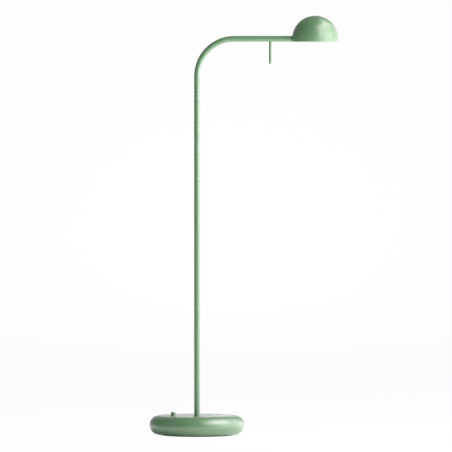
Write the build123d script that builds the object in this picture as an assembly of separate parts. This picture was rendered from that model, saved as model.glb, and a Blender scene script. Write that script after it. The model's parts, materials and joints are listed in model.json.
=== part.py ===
"""Floor lamp with a turning head: a round weighted base with a push button, one bent tube, a short
arm that turns about its own length by a slim handle, and a domed shade with its lamp inside.

Millimetres. +Z is up and +X runs from the stem towards the shade. The origin is on the floor, on
the stem's centreline. Each function makes one sub-part where it sits in the lamp.
"""

from build123d import *
from math import asin, cos, degrees, pi, radians, sin, sqrt
import os

# ---------------------------------------------------------------- driving dimensions
# Whole lamp
ARM_HEIGHT = 1082.0        # floor to the arm's centreline
ARM_REACH = 322.0          # stem's centreline to the shade's centreline
BEND_RADIUS = 102.0        # of the tube's centreline
TUBE_DIAMETER = 16.0
TUBE_WALL = 1.5

# Base
BASE_DIAMETER = 260.0
BASE_THICKNESS = 51.5      # the edge is a full half round
SHELL_WALL = 2.0
SHELL_LIP = 3.25           # flat ring of the shell inside its half-round edge, underneath
PAD_THICKNESS = 2.0
PLATE_THICKNESS = 3.0
HUB_BARREL_WALL = 4.0
HUB_FLANGE = 4.0
HUB_FLANGE_R = 24.0
BOSS_R = 5.0                   # of the shell's four screw bosses
SCREW_COVER = 4.0              # metal left over a blind screw hole
UPPER_BAY = 23.0           # room kept free over the ballast for the driver and the switch

# Turning joint
STRAIGHT_AFTER_BEND = 86.0     # straight end of the fixed tube, which holds the bearing
SEAM_GAP = 0.4                 # between the fixed tube and the turning arm
BEARING_LENGTH = 57.0
BUSH_LENGTH = 9.0
BUSH_WALL = 1.1
BUSH_FLANGE = 1.0
HOUSING_WALL = 1.0
SEAT_DEPTH = 1.0               # bearing housing's face inside the tube's end
COLLAR_LENGTH = 22.0           # thick part of the spindle, which takes the handle's stud
STOP_PIN_DIAMETER = 3.0
STOP_ANGLE = 90.0              # the head turns this far to each side

# Handle
HANDLE_SETBACK = 12.0          # from the seam to the handle's centreline
HANDLE_DIAMETER = 7.5
HANDLE_LENGTH = 60.0           # below the arm's underside
HANDLE_STUD = 5.0

# Shade and what it holds
SHADE_DIAMETER = 125.0
SHADE_SKIRT = 8.6              # straight band under the half sphere
SHADE_WALL = 2.2
RIM_ROUND = 1.9
DIFFUSER_THICKNESS = 2.2
BEZEL_LIP = 1.0
BEZEL_WIDTH = 12.5
SINK_HEIGHT = 22.0             # rim to the heat sink's underside
SINK_PLATE = 3.5
SINK_MARGIN = 3.5              # from the shade's inside to the plate and fins
SINK_FINS = 18
COLUMN_R = 9.0                 # of the heat sink's middle
CROWN_BOSS = 18.0              # length of the shade's boss, from its roof down to the column
CROWN_BOSS_R = 6.0
REFLECTOR_WALL = 1.2
FIN_THICKNESS = 1.6
EMITTER_SIZE = (3.5, 2.8, 0.7)
EMITTER_RINGS = ((6, 8.5), (12, 19.0))     # how many, and on what radius
BRACKET_DEPTH = 10.6           # of the block that joins the arm to the heat sink
SPIGOT_LENGTH = 24.0
SPINDLE_THREAD = 18.0          # length of spindle screwed into the bracket

# Circuit boards
BOARD_THICKNESS = 1.6

# Button
BUTTON_OFFSET = 65.3           # from the stem's centreline, away from the arm
BUTTON_DIAMETER = 13.0
BUTTON_HEIGHT = 9.0            # above the base
BUTTON_TRAVEL = 1.5
BUTTON_WALL = 1.6
BUTTON_STEM = 4.0
PLUNGER = 3.0
SPRING_WIRE = 0.8
SPRING_TURNS = 6
GUIDE_WALL = 2.0
GUIDE_BOSS_R = 3.0

# Leads and the cable outlet
LEAD_DIAMETER = 3.6
SWITCH_LEAD_DIAMETER = 2.6
LEAD_BEND = 12.0
CORD_BORE = 6.5                # hole of the outlet that a mains cord of that size passes
OUTLET_HEIGHT = 20.0           # of the outlet's centreline over the floor

# Clearances, per side
FIT = 0.04                     # parts pressed or glued together
RUNNING = 0.05                 # a shaft in its bush
SLIDE = 0.08                   # the button's flange in its guide
GAP = 0.3                      # parts that only pass each other
SEAT_GAP = 0.1                 # an end face that turns on another
THREAD_GAP = 0.05              # a plain screw in its plain hole

# Screws: shank, head diameter, head height, hexagon socket across its flats
M25 = (2.5, 4.5, 2.5, 2.0)
M3 = (3.0, 5.5, 3.0, 2.5)
M4 = (4.0, 7.0, 4.0, 3.0)
M8 = (8.0, 13.0, 8.0, 6.0)

# ---------------------------------------------------------------- places that follow
TUBE_R = TUBE_DIAMETER / 2
TUBE_IR = TUBE_R - TUBE_WALL

BASE_BOTTOM = PAD_THICKNESS
BASE_TOP = BASE_BOTTOM + BASE_THICKNESS
EDGE_R = BASE_THICKNESS / 2
EDGE_CENTRE = BASE_DIAMETER / 2 - EDGE_R
EDGE_LEVEL = BASE_BOTTOM + EDGE_R
SHELL_ROOF = BASE_TOP - SHELL_WALL
OPENING_R = EDGE_CENTRE - SHELL_LIP
PLATE_R = OPENING_R - GAP
PLATE_TOP = BASE_BOTTOM + PLATE_THICKNESS
BALLAST_R = OPENING_R - 3.0
BALLAST_TOP = SHELL_ROOF - UPPER_BAY

SEAM_X = BEND_RADIUS + STRAIGHT_AFTER_BEND
HANDLE_X = SEAM_X + HANDLE_SETBACK
HOUSING_FRONT = SEAM_X - SEAT_DEPTH
HOUSING_REAR = HOUSING_FRONT - BEARING_LENGTH
HOUSING_R = TUBE_IR - FIT
HOUSING_IR = HOUSING_R - HOUSING_WALL
JOURNAL_R = HOUSING_IR - FIT - BUSH_WALL - RUNNING
BUSH_FLANGE_R = TUBE_IR - GAP / 2
LEAD_R = LEAD_DIAMETER / 2
SPINDLE_BORE = LEAD_R + 0.5
ARM_START = SEAM_X + SEAM_GAP
COLLAR_START = SEAM_X - SEAT_DEPTH + BUSH_FLANGE + SEAT_GAP
COLLAR_END = COLLAR_START + COLLAR_LENGTH

RIM = ARM_HEIGHT - TUBE_R
SHADE_R = SHADE_DIAMETER / 2
SHADE_IR = SHADE_R - SHADE_WALL
DOME_CENTRE = RIM + SHADE_SKIRT
SHADE_ROOF = DOME_CENTRE + SHADE_IR
ARM_END = ARM_REACH - SHADE_IR - 0.5
BEZEL_R = SHADE_IR - 0.15
BEZEL_BOTTOM = RIM + 0.8
DIFFUSER_BOTTOM = BEZEL_BOTTOM + BEZEL_LIP
DIFFUSER_TOP = DIFFUSER_BOTTOM + DIFFUSER_THICKNESS
SINK_BOTTOM = RIM + SINK_HEIGHT
SINK_TOP = SINK_BOTTOM + SINK_PLATE
BLOCK_R = SHADE_IR - 0.8
BLOCK_BOTTOM = DIFFUSER_TOP + 0.8
BLOCK_END = ARM_END + BRACKET_DEPTH
BOARD_R = ARM_REACH - BLOCK_END - 6.0
BOARD_BOTTOM = SINK_BOTTOM - BOARD_THICKNESS
REFLECTOR_TOP_R = EMITTER_RINGS[-1][1] + 7.0
REFLECTOR_BOTTOM_R = BEZEL_R - BEZEL_WIDTH - 2.0
COLUMN_TOP = SHADE_ROOF - CROWN_BOSS
CROWN_SCREW_SEAT = SINK_BOTTOM + 5.0

BUTTON_X = -BUTTON_OFFSET
BUTTON_R = BUTTON_DIAMETER / 2
BUTTON_TOP = BASE_TOP + BUTTON_HEIGHT
COLLAR_STEP = 1.3              # button's catch flange beyond its body
CATCH_R = BUTTON_R + COLLAR_STEP
CATCH_TOP = SHELL_ROOF - SEAT_GAP
CATCH_BOTTOM = CATCH_TOP - 2.0
GUIDE_FLOOR_TOP = SHELL_ROOF - 13.5
GUIDE_FLOOR = GUIDE_FLOOR_TOP - GUIDE_WALL
GUIDE_R = CATCH_R + SLIDE + GUIDE_WALL
SWITCH_BOARD_TOP = GUIDE_FLOOR - 5.5
SWITCH_BOARD_BOTTOM = SWITCH_BOARD_TOP - BOARD_THICKNESS

LEAD_LEVEL = BALLAST_TOP + HUB_FLANGE + 3.2
WINDOW_BOTTOM = LEAD_LEVEL - LEAD_R - 0.4
WINDOW_TOP = WINDOW_BOTTOM + 7.5
HUB_BARREL_R = TUBE_R + HUB_BARREL_WALL
STEM_FOOT = PLATE_TOP + 14.0
BOLT_LEDGE = STEM_FOOT - 3.0   # underside of the hub's floor, which the stem bolt pulls on
DRIVER_X = HUB_FLANGE_R + 10.0     # inner side of the driver, beside the hub
DRIVER_SIZE = (42.0, 76.0, 17.0)
DRIVER_Y = -2.0


# ---------------------------------------------------------------- shared shapes
def rod_z(radius, bottom, top, x=0.0, y=0.0):
    """Upright cylinder."""
    return Pos(x, y, bottom) * Cylinder(radius, top - bottom, align=(Align.CENTER, Align.CENTER, Align.MIN))


def rod_x(radius, start, end, z=ARM_HEIGHT, y=0.0):
    """Cylinder along X."""
    return Pos(start, y, z) * Rot(0, 90, 0) * Cylinder(
        radius, end - start, align=(Align.CENTER, Align.CENTER, Align.MIN))


def block(x, y, z):
    """Box from three pairs of limits."""
    return Pos(x[0], y[0], z[0]) * Box(
        x[1] - x[0], y[1] - y[0], z[1] - z[0], align=(Align.MIN, Align.MIN, Align.MIN))


def turned(points, x=0.0):
    """Solid turned about the vertical through x from a closed outline of (radius, height)."""
    face = make_face(Polyline([(r, 0, z) for r, z in points], close=True))
    return Pos(x, 0, 0) * revolve(face, Axis.Z, 360)


def cap_screw(size, length):
    """Socket screw at the origin, head above Z 0 and shank below."""
    shank, head, head_height, socket = size
    body = rod_z(head / 2, 0, head_height) + rod_z(shank / 2 - THREAD_GAP, -length, 0)
    body = chamfer(body.edges().sort_by(Axis.Z)[-1:], 0.3)
    body = chamfer(body.edges().sort_by(Axis.Z)[:1], 0.3)
    depth = head_height * 0.55
    drive = extrude(RegularPolygon(socket / 2, 6, major_radius=False), depth)
    return body - Pos(0, 0, head_height - depth) * drive


def countersunk_screw(size, length):
    """Flat-headed screw with its head's face at Z 0 and the shank below."""
    shank, head, _, socket = size
    shank_r = shank / 2 - THREAD_GAP
    cone = head / 2 - shank_r
    body = turned([
        (0, 0), (head / 2, 0), (head / 2, -0.3), (shank_r, -0.3 - cone), (shank_r, -length), (0, -length)])
    drive = extrude(RegularPolygon(socket * 0.42, 6, major_radius=False), 1.6)
    return body - Pos(0, 0, -1.6) * drive


def round_places(count, radius, first=0.0, x=0.0):
    """Points evenly spaced round a circle."""
    step = 360.0 / count
    angles = [radians(first + step * i) for i in range(count)]
    return [(x + radius * cos(a), radius * sin(a)) for a in angles]


def together(solids):
    """Separate solids kept as one group."""
    return Compound(children=[part.solids()[0] if len(part.solids()) == 1 else part for part in solids])


def swept_lead(wire, radius):
    """Round lead along a wire of straight runs and tangent arcs; prints how its volume compares."""
    start = Plane(origin=wire @ 0, z_dir=wire % 0)
    lead = sweep(start * Circle(radius), path=wire)
    share = lead.volume / (pi * radius ** 2 * wire.length)
    print(f"lead {wire.length:.0f} mm long, volume {share:.4f} of section times length")
    return lead


def pebble(grow=0.0):
    """The base's outer form, a disc with a half-round edge, grown all over by a distance."""
    edge = EDGE_R + grow
    top, bottom = EDGE_LEVEL + edge, EDGE_LEVEL - edge
    outline = Polyline([(0, 0, bottom), (0, 0, top), (EDGE_CENTRE, 0, top)]) + ThreePointArc(
        (EDGE_CENTRE, 0, top), (EDGE_CENTRE + edge, 0, EDGE_LEVEL), (EDGE_CENTRE, 0, bottom)) + Line(
        (EDGE_CENTRE, 0, bottom), (0, 0, bottom))
    return revolve(make_face(outline), Axis.Z, 360)


def dome(radius, bottom=RIM):
    """Half sphere on a straight skirt, about the shade's centreline, down to a level."""
    crown = DOME_CENTRE + radius
    half = sqrt(0.5)
    straight = Polyline([(0, 0, crown), (0, 0, bottom), (radius, 0, bottom), (radius, 0, DOME_CENTRE)])
    outline = straight + ThreePointArc(
        (radius, 0, DOME_CENTRE), (radius * half, 0, DOME_CENTRE + radius * half), (0, 0, crown))
    return Pos(ARM_REACH, 0, 0) * revolve(make_face(outline), Axis.Z, 360)


# ---------------------------------------------------------------- places of fasteners
SHELL_SCREWS = [(BALLAST_R - 19.0) * Vector(cos(radians(a)), sin(radians(a))) for a in (60, 120, 240, 300)]
PLATE_SCREWS = [Vector(x, y) for x, y in round_places(4, BALLAST_R - 9.0, 45)]
HUB_SCREWS = [Vector(x, y) for x, y in round_places(3, HUB_BARREL_R + 6.5, 60)]
SHELL_HEAD_LEVEL = PLATE_TOP + 9.0
OUTLET_SURFACE = EDGE_CENTRE + sqrt(EDGE_R ** 2 - (EDGE_LEVEL - OUTLET_HEIGHT) ** 2)
OUTLET_HOLE_R = CORD_BORE / 2 + 2.6
OUTLET_IN = -SHELL_WALL - 7.0
OUTLET_OUT = 5.0
EAR_Y = GUIDE_R + GUIDE_BOSS_R + GAP
GUIDE_EARS = [(BUTTON_X, y) for y in (-EAR_Y, EAR_Y)]
EAR_TOP = SHELL_ROOF - 6.0
EAR_BOTTOM = EAR_TOP - 2.5


def on_outlet(radius, inner, outer):
    """Level cylinder on the outlet's centreline, between two distances outward from the shell's surface."""
    return Pos(0, OUTLET_SURFACE + inner, OUTLET_HEIGHT) * Rot(-90, 0, 0) * Cylinder(
        radius, outer - inner, align=(Align.CENTER, Align.CENTER, Align.MIN))


# ---------------------------------------------------------------- base
def base_shell():
    """Pressed shell of the base, open underneath, with screw bosses inside its roof."""
    shell = pebble() - pebble(-SHELL_WALL)
    shell -= rod_z(OPENING_R, BASE_BOTTOM - 1, BASE_BOTTOM + SHELL_WALL + 1)
    for p in SHELL_SCREWS:
        shell += rod_z(BOSS_R, BALLAST_TOP, SHELL_ROOF, p.X, p.Y)
        shell -= rod_z(M4[0] / 2, BALLAST_TOP - 1, SHELL_ROOF - SCREW_COVER, p.X, p.Y)
    for x, y in GUIDE_EARS:
        shell += rod_z(GUIDE_BOSS_R, EAR_TOP, SHELL_ROOF, x, y)
        shell -= rod_z(M25[0] / 2, EAR_TOP - 1, SHELL_ROOF - 0.5, x, y)
    shell -= rod_z(TUBE_R + GAP / 2, SHELL_ROOF - 1, BASE_TOP + 1)
    shell -= rod_z(BUTTON_R + GAP, SHELL_ROOF - 1, BASE_TOP + 1, BUTTON_X)
    shell -= on_outlet(OUTLET_HOLE_R + 0.1, -8, 8)
    return shell


def ballast():
    """Cast-iron weight that fills the lower half of the base."""
    weight = rod_z(BALLAST_R, PLATE_TOP, BALLAST_TOP)
    weight = chamfer(weight.edges(), 1.5)
    weight -= rod_z(HUB_BARREL_R + GAP, PLATE_TOP - 1, BALLAST_TOP + 1)
    pocket = (GUIDE_R + 7.0, GUIDE_R + 9.0)
    pocket_floor = SWITCH_BOARD_BOTTOM - 3.5
    weight -= fillet(
        block((BUTTON_X - pocket[0], BUTTON_X + pocket[0]), (-pocket[1], pocket[1]),
              (pocket_floor, BALLAST_TOP + 1)).edges().filter_by(Axis.Z), 5.0)
    half = CORD_BORE / 2 + 1.0
    channel_floor = BALLAST_TOP - CORD_BORE
    weight -= block((-half, half), (BALLAST_R - 36.0, BALLAST_R + 1), (channel_floor, BALLAST_TOP + 1))
    for p in SHELL_SCREWS:
        weight -= rod_z(M4[0] / 2 + GAP, PLATE_TOP - 1, BALLAST_TOP + 1, p.X, p.Y)
        weight -= rod_z(M4[1] / 2 + 0.8, PLATE_TOP - 1, SHELL_HEAD_LEVEL, p.X, p.Y)
    for p in PLATE_SCREWS:
        weight -= rod_z(M4[0] / 2, PLATE_TOP - 1, PLATE_TOP + 11, p.X, p.Y)
    for p in HUB_SCREWS:
        weight -= rod_z(M4[0] / 2, BALLAST_TOP - 10, BALLAST_TOP + 1, p.X, p.Y)
    for x, y in CLAMP_SCREWS + DRIVER_SCREWS:
        weight -= rod_z(M3[0] / 2, BALLAST_TOP - 8, BALLAST_TOP + 1, x, y)
    return weight


def base_plate():
    """Steel plate that closes the base underneath."""
    plate = rod_z(PLATE_R, BASE_BOTTOM, PLATE_TOP)
    plate = chamfer(plate.edges(), 0.4)
    for p in PLATE_SCREWS:
        head_r, hole_r = M4[1] / 2 + 0.1, M4[0] / 2 + 0.1
        cone_bottom = BASE_BOTTOM + 0.4
        plate -= Pos(p.X, p.Y, 0) * turned([
            (0, BASE_BOTTOM - 0.01), (head_r, BASE_BOTTOM - 0.01), (head_r, cone_bottom),
            (hole_r, cone_bottom + head_r - hole_r), (hole_r, PLATE_TOP + 1), (0, PLATE_TOP + 1)])
    return plate


def foot_pad():
    """Anti-slip pad under the plate, with a hole at each plate screw."""
    pad = rod_z(PLATE_R - 3.0, 0, PAD_THICKNESS)
    for p in PLATE_SCREWS:
        pad -= rod_z(M4[1] / 2 + 1.5, -1, PAD_THICKNESS + 1, p.X, p.Y)
    return pad


def plate_screws():
    """Four flat-headed screws, up through the plate into the ballast."""
    screw = Rot(180, 0, 0) * countersunk_screw(M4, PLATE_THICKNESS + 9.5)
    return together([Pos(p.X, p.Y, BASE_BOTTOM + 0.05) * screw for p in PLATE_SCREWS])


def shell_screws():
    """Four screws, up through the ballast into the shell's bosses."""
    length = SHELL_ROOF - SCREW_COVER - 0.5 - SHELL_HEAD_LEVEL
    screw = Rot(180, 0, 0) * cap_screw(M4, length)
    return together([Pos(p.X, p.Y, SHELL_HEAD_LEVEL) * screw for p in SHELL_SCREWS])


def stem_hub():
    """Flanged steel socket, let into the ballast, that the tube stands in."""
    flange_top = BALLAST_TOP + HUB_FLANGE
    hub = rod_z(HUB_BARREL_R, PLATE_TOP + 1, BALLAST_TOP) + rod_z(HUB_FLANGE_R, BALLAST_TOP, flange_top)
    hub = chamfer(hub.edges().sort_by(Axis.Z)[-1:], 0.8)
    hub -= rod_z(TUBE_R + FIT, STEM_FOOT, flange_top + 1)
    hub -= rod_z(M8[0] / 2 + GAP, PLATE_TOP, STEM_FOOT + 1)
    hub -= rod_z(M8[1] / 2 + 1.0, PLATE_TOP, BOLT_LEDGE)
    for p in HUB_SCREWS:
        hub -= rod_z(M4[0] / 2 + GAP, BALLAST_TOP - 1, flange_top + 1, p.X, p.Y)
    return hub


def hub_screws():
    """Three screws that hold the hub's flange to the ballast."""
    screw = cap_screw(M4[:2] + (2.4,) + M4[3:], HUB_FLANGE + 8.0)
    return together([Pos(p.X, p.Y, BALLAST_TOP + HUB_FLANGE) * screw for p in HUB_SCREWS])


PLUG_TOP = WINDOW_BOTTOM - 1.5
WASHER_BOTTOM = BOLT_LEDGE - 1.5


def stem_plug():
    """Threaded steel plug fixed in the tube's foot."""
    plug = rod_z(TUBE_IR - FIT, STEM_FOOT, PLUG_TOP)
    return plug - rod_z(M8[0] / 2, STEM_FOOT - 1, PLUG_TOP + 1)


def stem_washer():
    """Washer between the stem bolt's head and the hub."""
    washer = rod_z(M8[1] / 2 + 0.5, WASHER_BOTTOM, BOLT_LEDGE)
    return washer - rod_z(M8[0] / 2 + GAP, WASHER_BOTTOM - 1, BOLT_LEDGE + 1)


def stem_bolt():
    """Bolt that draws the tube's plug down into the hub."""
    low_head = (M8[0], M8[1], 6.5, M8[3])
    return Pos(0, 0, WASHER_BOTTOM) * Rot(180, 0, 0) * cap_screw(low_head, PLUG_TOP - 1.5 - WASHER_BOTTOM)


CLAMP_Y = BALLAST_R - 15.0
CLAMP_SCREWS = [(x, CLAMP_Y) for x in (-10.0, 10.0)]
CLAMP_TOP = BALLAST_TOP + 3.0


def cord_clamp():
    """Bar across the cord's channel that grips a cord against pulling."""
    bar = block((-15, 15), (CLAMP_Y - 4.5, CLAMP_Y + 4.5), (BALLAST_TOP, CLAMP_TOP))
    bar = fillet(bar.edges().filter_by(Axis.Z), 3.0)
    half = CORD_BORE / 2
    bar += block((-half, half), (CLAMP_Y - 1.5, CLAMP_Y + 1.5), (BALLAST_TOP - 1.2, CLAMP_TOP))
    for x, y in CLAMP_SCREWS:
        bar -= rod_z(M3[0] / 2 + 0.2, BALLAST_TOP - 1, CLAMP_TOP + 1, x, y)
    return bar


def clamp_screws():
    """Two screws of the cord clamp."""
    screw = cap_screw(M3, 9.5)
    return together([Pos(x, y, CLAMP_TOP) * screw for x, y in CLAMP_SCREWS])


def cable_outlet():
    """Rubber grommet in the shell's rear edge, with a lip on each side that follows the wall."""
    outer_lip = (pebble(1.6) - pebble(0.1)) & on_outlet(OUTLET_HOLE_R + 2.2, -6, 6)
    inner_lip = pebble(-SHELL_WALL - 0.1) - pebble(-SHELL_WALL - 2.4)
    inner_lip &= on_outlet(OUTLET_HOLE_R + 2.8, -12, 0)
    barrel = on_outlet(OUTLET_HOLE_R, -SHELL_WALL - 1.5, 0.9)
    nose = on_outlet(CORD_BORE / 2 + 1.8, OUTLET_IN, OUTLET_OUT)
    nose = fillet(nose.edges().sort_by(Axis.Y)[-1:], 1.0)
    return outer_lip + barrel + inner_lip + nose - on_outlet(CORD_BORE / 2, OUTLET_IN - 1, OUTLET_OUT + 1)


# ---------------------------------------------------------------- button and switch
def button_cap():
    """Push button with a catch flange under the shell's roof and a stem down to the switch."""
    body = rod_z(BUTTON_R, CATCH_TOP - 1, BUTTON_TOP, BUTTON_X)
    body = fillet(body.edges().sort_by(Axis.Z)[-1:], 1.2)
    body += rod_z(CATCH_R, CATCH_BOTTOM, CATCH_TOP, BUTTON_X)
    body -= rod_z(BUTTON_R - BUTTON_WALL, CATCH_BOTTOM - 1, SPRING_TOP, BUTTON_X)
    return body + rod_z(BUTTON_STEM / 2, GUIDE_FLOOR, SPRING_TOP + 0.5, BUTTON_X)


SPRING_TOP = BUTTON_TOP - 6.5
SPRING_R = BUTTON_R - BUTTON_WALL - GAP - SPRING_WIRE / 2


def button_spring():
    """Open coil between the guide's floor and the button's roof, with a flat ring closing each end."""
    low = GUIDE_FLOOR_TOP + SPRING_WIRE / 2
    high = SPRING_TOP - SPRING_WIRE / 2
    coil_low, coil_high = low + SPRING_WIRE + 0.1, high - SPRING_WIRE - 0.1
    height = coil_high - coil_low
    path = Pos(BUTTON_X, 0, coil_low) * Helix(height / SPRING_TURNS, height, SPRING_R)
    coil = sweep(Plane(origin=path @ 0, z_dir=path % 0) * Circle(SPRING_WIRE / 2), path=path)
    rings = [Pos(BUTTON_X, 0, z) * Torus(SPRING_R, SPRING_WIRE / 2) for z in (low, high)]
    return together([coil] + rings)


def button_guide():
    """Moulded guide under the shell's roof: a cup with two ears and two legs that carry the switch board."""
    cup = rod_z(GUIDE_R, GUIDE_FLOOR, SHELL_ROOF, BUTTON_X)
    cup += block((BUTTON_X - 4, BUTTON_X + 4), (-EAR_Y, EAR_Y), (EAR_BOTTOM, EAR_TOP))
    cup += [rod_z(4.0, EAR_BOTTOM, EAR_TOP, x, y) for x, y in GUIDE_EARS]
    cup -= rod_z(CATCH_R + SLIDE, GUIDE_FLOOR_TOP, SHELL_ROOF, BUTTON_X)
    cup += [rod_z(2.2, SWITCH_BOARD_TOP, GUIDE_FLOOR + 0.5, x, y) for x, y in SWITCH_LEGS]
    cup -= rod_z(BUTTON_STEM / 2 + GAP, GUIDE_FLOOR - 1, GUIDE_FLOOR_TOP + 1, BUTTON_X)
    for x, y in GUIDE_EARS:
        cup -= rod_z(M25[0] / 2 + 0.2, EAR_BOTTOM - 1, EAR_TOP + 1, x, y)
    for x, y in SWITCH_LEGS:
        cup -= rod_z(0.9, SWITCH_BOARD_TOP - 1, GUIDE_FLOOR - 0.5, x, y)
    return cup


SWITCH_LEGS = [(BUTTON_X + x, 0.0) for x in (-7.5, 7.5)]


def guide_screws():
    """Two screws up through the guide's ears into the shell."""
    screw = Rot(180, 0, 0) * cap_screw(M25, SHELL_ROOF - 1.0 - EAR_BOTTOM)
    return together([Pos(x, y, EAR_BOTTOM) * screw for x, y in GUIDE_EARS])


def switch_board():
    """Small circuit board under the guide, on its two legs."""
    board = block((BUTTON_X - 11, BUTTON_X + 11), (-15, 8), (SWITCH_BOARD_BOTTOM, SWITCH_BOARD_TOP))
    board = fillet(board.edges().filter_by(Axis.Z), 1.5)
    for x, y in SWITCH_LEGS:
        board -= rod_z(1.1, SWITCH_BOARD_BOTTOM - 1, SWITCH_BOARD_TOP + 1, x, y)
    return board


def switch_board_screws():
    """Two small screws up through the board into the guide's legs."""
    screw = Rot(180, 0, 0) * cap_screw((1.8, 3.4, 1.2, 1.3), 5.0)
    return together([Pos(x, y, SWITCH_BOARD_BOTTOM) * screw for x, y in SWITCH_LEGS])


def tact_switch():
    """Body of the momentary switch, with its well for the plunger."""
    body = block((BUTTON_X - 3, BUTTON_X + 3), (-3, 3), (SWITCH_BOARD_TOP, SWITCH_BOARD_TOP + 3.6))
    body = chamfer(body.edges().filter_by(Axis.Z), 0.4)
    return body - rod_z(PLUNGER / 2 + GAP, SWITCH_BOARD_TOP + 0.5, SWITCH_BOARD_TOP + 5, BUTTON_X)


def switch_plunger():
    """Plunger of the momentary switch, which the button's stem pushes."""
    return rod_z(PLUNGER / 2, SWITCH_BOARD_TOP + 0.8 + BUTTON_TRAVEL, GUIDE_FLOOR, BUTTON_X)


def switch_socket():
    """Socket on the switch board that the switch lead leaves."""
    return block((BUTTON_X - 4, BUTTON_X + 4), (-14, -8.5), (SWITCH_BOARD_TOP, SWITCH_BOARD_TOP + 4.6))


# ---------------------------------------------------------------- driver
DRIVER_LOW = (DRIVER_X, DRIVER_Y - DRIVER_SIZE[1] / 2)
DRIVER_HIGH = (DRIVER_X + DRIVER_SIZE[0], DRIVER_Y + DRIVER_SIZE[1] / 2)
CASE_WALL = 1.8
LID_THICKNESS = 2.0
CASE_TOP = BALLAST_TOP + DRIVER_SIZE[2] - LID_THICKNESS
LUG_TOP = BALLAST_TOP + 3.0
BOARD_LEVEL = BALLAST_TOP + CASE_WALL + 1.5
BOARD_FACE = BOARD_LEVEL + BOARD_THICKNESS
SWITCH_LEAD_Y = DRIVER_LOW[1] + 12.0
SWITCH_PLUG_X = DRIVER_X + CASE_WALL + 2.0
DRIVER_SCREWS = [((DRIVER_LOW[0] + DRIVER_HIGH[0]) / 2, DRIVER_LOW[1] - 4.0),
                 (DRIVER_LOW[0] + 26.0, DRIVER_HIGH[1] + 4.0)]


def driver_case():
    """Open tray of the LED driver with two screw ears."""
    x, y = (DRIVER_LOW[0], DRIVER_HIGH[0]), (DRIVER_LOW[1], DRIVER_HIGH[1])
    case = block(x, y, (BALLAST_TOP, CASE_TOP))
    case = fillet(case.edges().filter_by(Axis.Z), 2.0)
    case -= block((x[0] + CASE_WALL, x[1] - CASE_WALL), (y[0] + CASE_WALL, y[1] - CASE_WALL),
                  (BALLAST_TOP + CASE_WALL, CASE_TOP + 1))
    for (sx, sy), inward in zip(DRIVER_SCREWS, (4.5, -4.5)):
        case += rod_z(4.5, BALLAST_TOP, LUG_TOP, sx, sy)
        case += block((sx - 4.5, sx + 4.5), sorted((sy, sy + inward)), (BALLAST_TOP, LUG_TOP))
        case -= rod_z(M3[0] / 2 + 0.2, BALLAST_TOP - 1, LUG_TOP + 1, sx, sy)
    lead_r = SWITCH_LEAD_DIAMETER / 2 + GAP
    return case - rod_x(lead_r, x[0] - 1, x[0] + CASE_WALL + 1, SWITCH_LEAD_IN, SWITCH_LEAD_Y)


def driver_lid():
    """Lid of the driver, let into the tray's rim."""
    x, y = (DRIVER_LOW[0], DRIVER_HIGH[0]), (DRIVER_LOW[1], DRIVER_HIGH[1])
    lid = block(x, y, (CASE_TOP, CASE_TOP + LID_THICKNESS))
    lid = fillet(lid.edges().filter_by(Axis.Z), 2.0)
    lid = chamfer(lid.edges().group_by(Axis.Z)[-1], 0.6)
    inset = CASE_WALL + 0.2
    lip = block((x[0] + inset, x[1] - inset), (y[0] + inset, y[1] - inset), (CASE_TOP - 1.0, CASE_TOP + 0.5))
    inner = inset + 1.2
    lip -= block((x[0] + inner, x[1] - inner), (y[0] + inner, y[1] - inner), (CASE_TOP - 2.0, CASE_TOP))
    return lid + lip


def driver_screws():
    """Two screws of the driver's ears."""
    screw = cap_screw(M3, 9.5)
    return together([Pos(x, y, LUG_TOP) * screw for x, y in DRIVER_SCREWS])


def driver_board():
    """The driver's circuit board on four feet."""
    inset = CASE_WALL + 0.6
    x = (DRIVER_LOW[0] + inset, DRIVER_HIGH[0] - inset)
    y = (DRIVER_LOW[1] + inset, DRIVER_HIGH[1] - inset)
    board = block(x, y, (BOARD_LEVEL, BOARD_FACE))
    for fx in (x[0] + 3, x[1] - 3):
        for fy in (y[0] + 3, y[1] - 3):
            board += rod_z(1.6, BALLAST_TOP + CASE_WALL, BOARD_LEVEL + 0.5, fx, fy)
    return board


def driver_parts():
    """Transformer, choke, capacitors and chips on the driver's board, as separate solids."""
    top = BOARD_FACE
    cx = (DRIVER_LOW[0] + DRIVER_HIGH[0]) / 2
    cy = DRIVER_Y
    core = block((cx - 8, cx + 8), (cy - 8, cy + 8), (top, top + 8.6))
    core = chamfer(core.edges().filter_by(Axis.Z), 1.0)
    input_cap = rod_z(3.8, top, top + 8.8, cx - 12, cy + 20)
    input_cap = fillet(input_cap.edges().sort_by(Axis.Z)[-1:], 0.6)
    film_cap = block((cx - 2, cx + 11), (cy + 14, cy + 20), (top, top + 8.4))
    film_cap = fillet(film_cap.edges().filter_by(Axis.Z), 1.0)
    choke = rod_z(5.2, top, top + 6.5, cx + 11, cy - 20) - rod_z(2.0, top - 1, top + 7, cx + 11, cy - 20)
    output_cap = rod_z(3.2, top, top + 8.0, cx + 1, cy - 22)
    output_cap = fillet(output_cap.edges().sort_by(Axis.Z)[-1:], 0.5)
    chips = [block((cx - 14, cx - 10), (y, y + 5), (top, top + 1.5)) for y in (cy - 12, cy - 2, cy + 8)]
    plug = block((SWITCH_PLUG_X, SWITCH_PLUG_X + 5), (SWITCH_LEAD_Y - 3, SWITCH_LEAD_Y + 3), (top, top + 4.8))
    return together([core, input_cap, film_cap, choke, output_cap, plug] + chips)


TERMINAL_X = DRIVER_LOW[0] + 13.0
TERMINAL_SEAT = BALLAST_TOP + 5.0
TERMINAL_SCREWS = [(TERMINAL_X + x, DRIVER_HIGH[1] + 5.5) for x in (-3.2, 3.2)]


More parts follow.
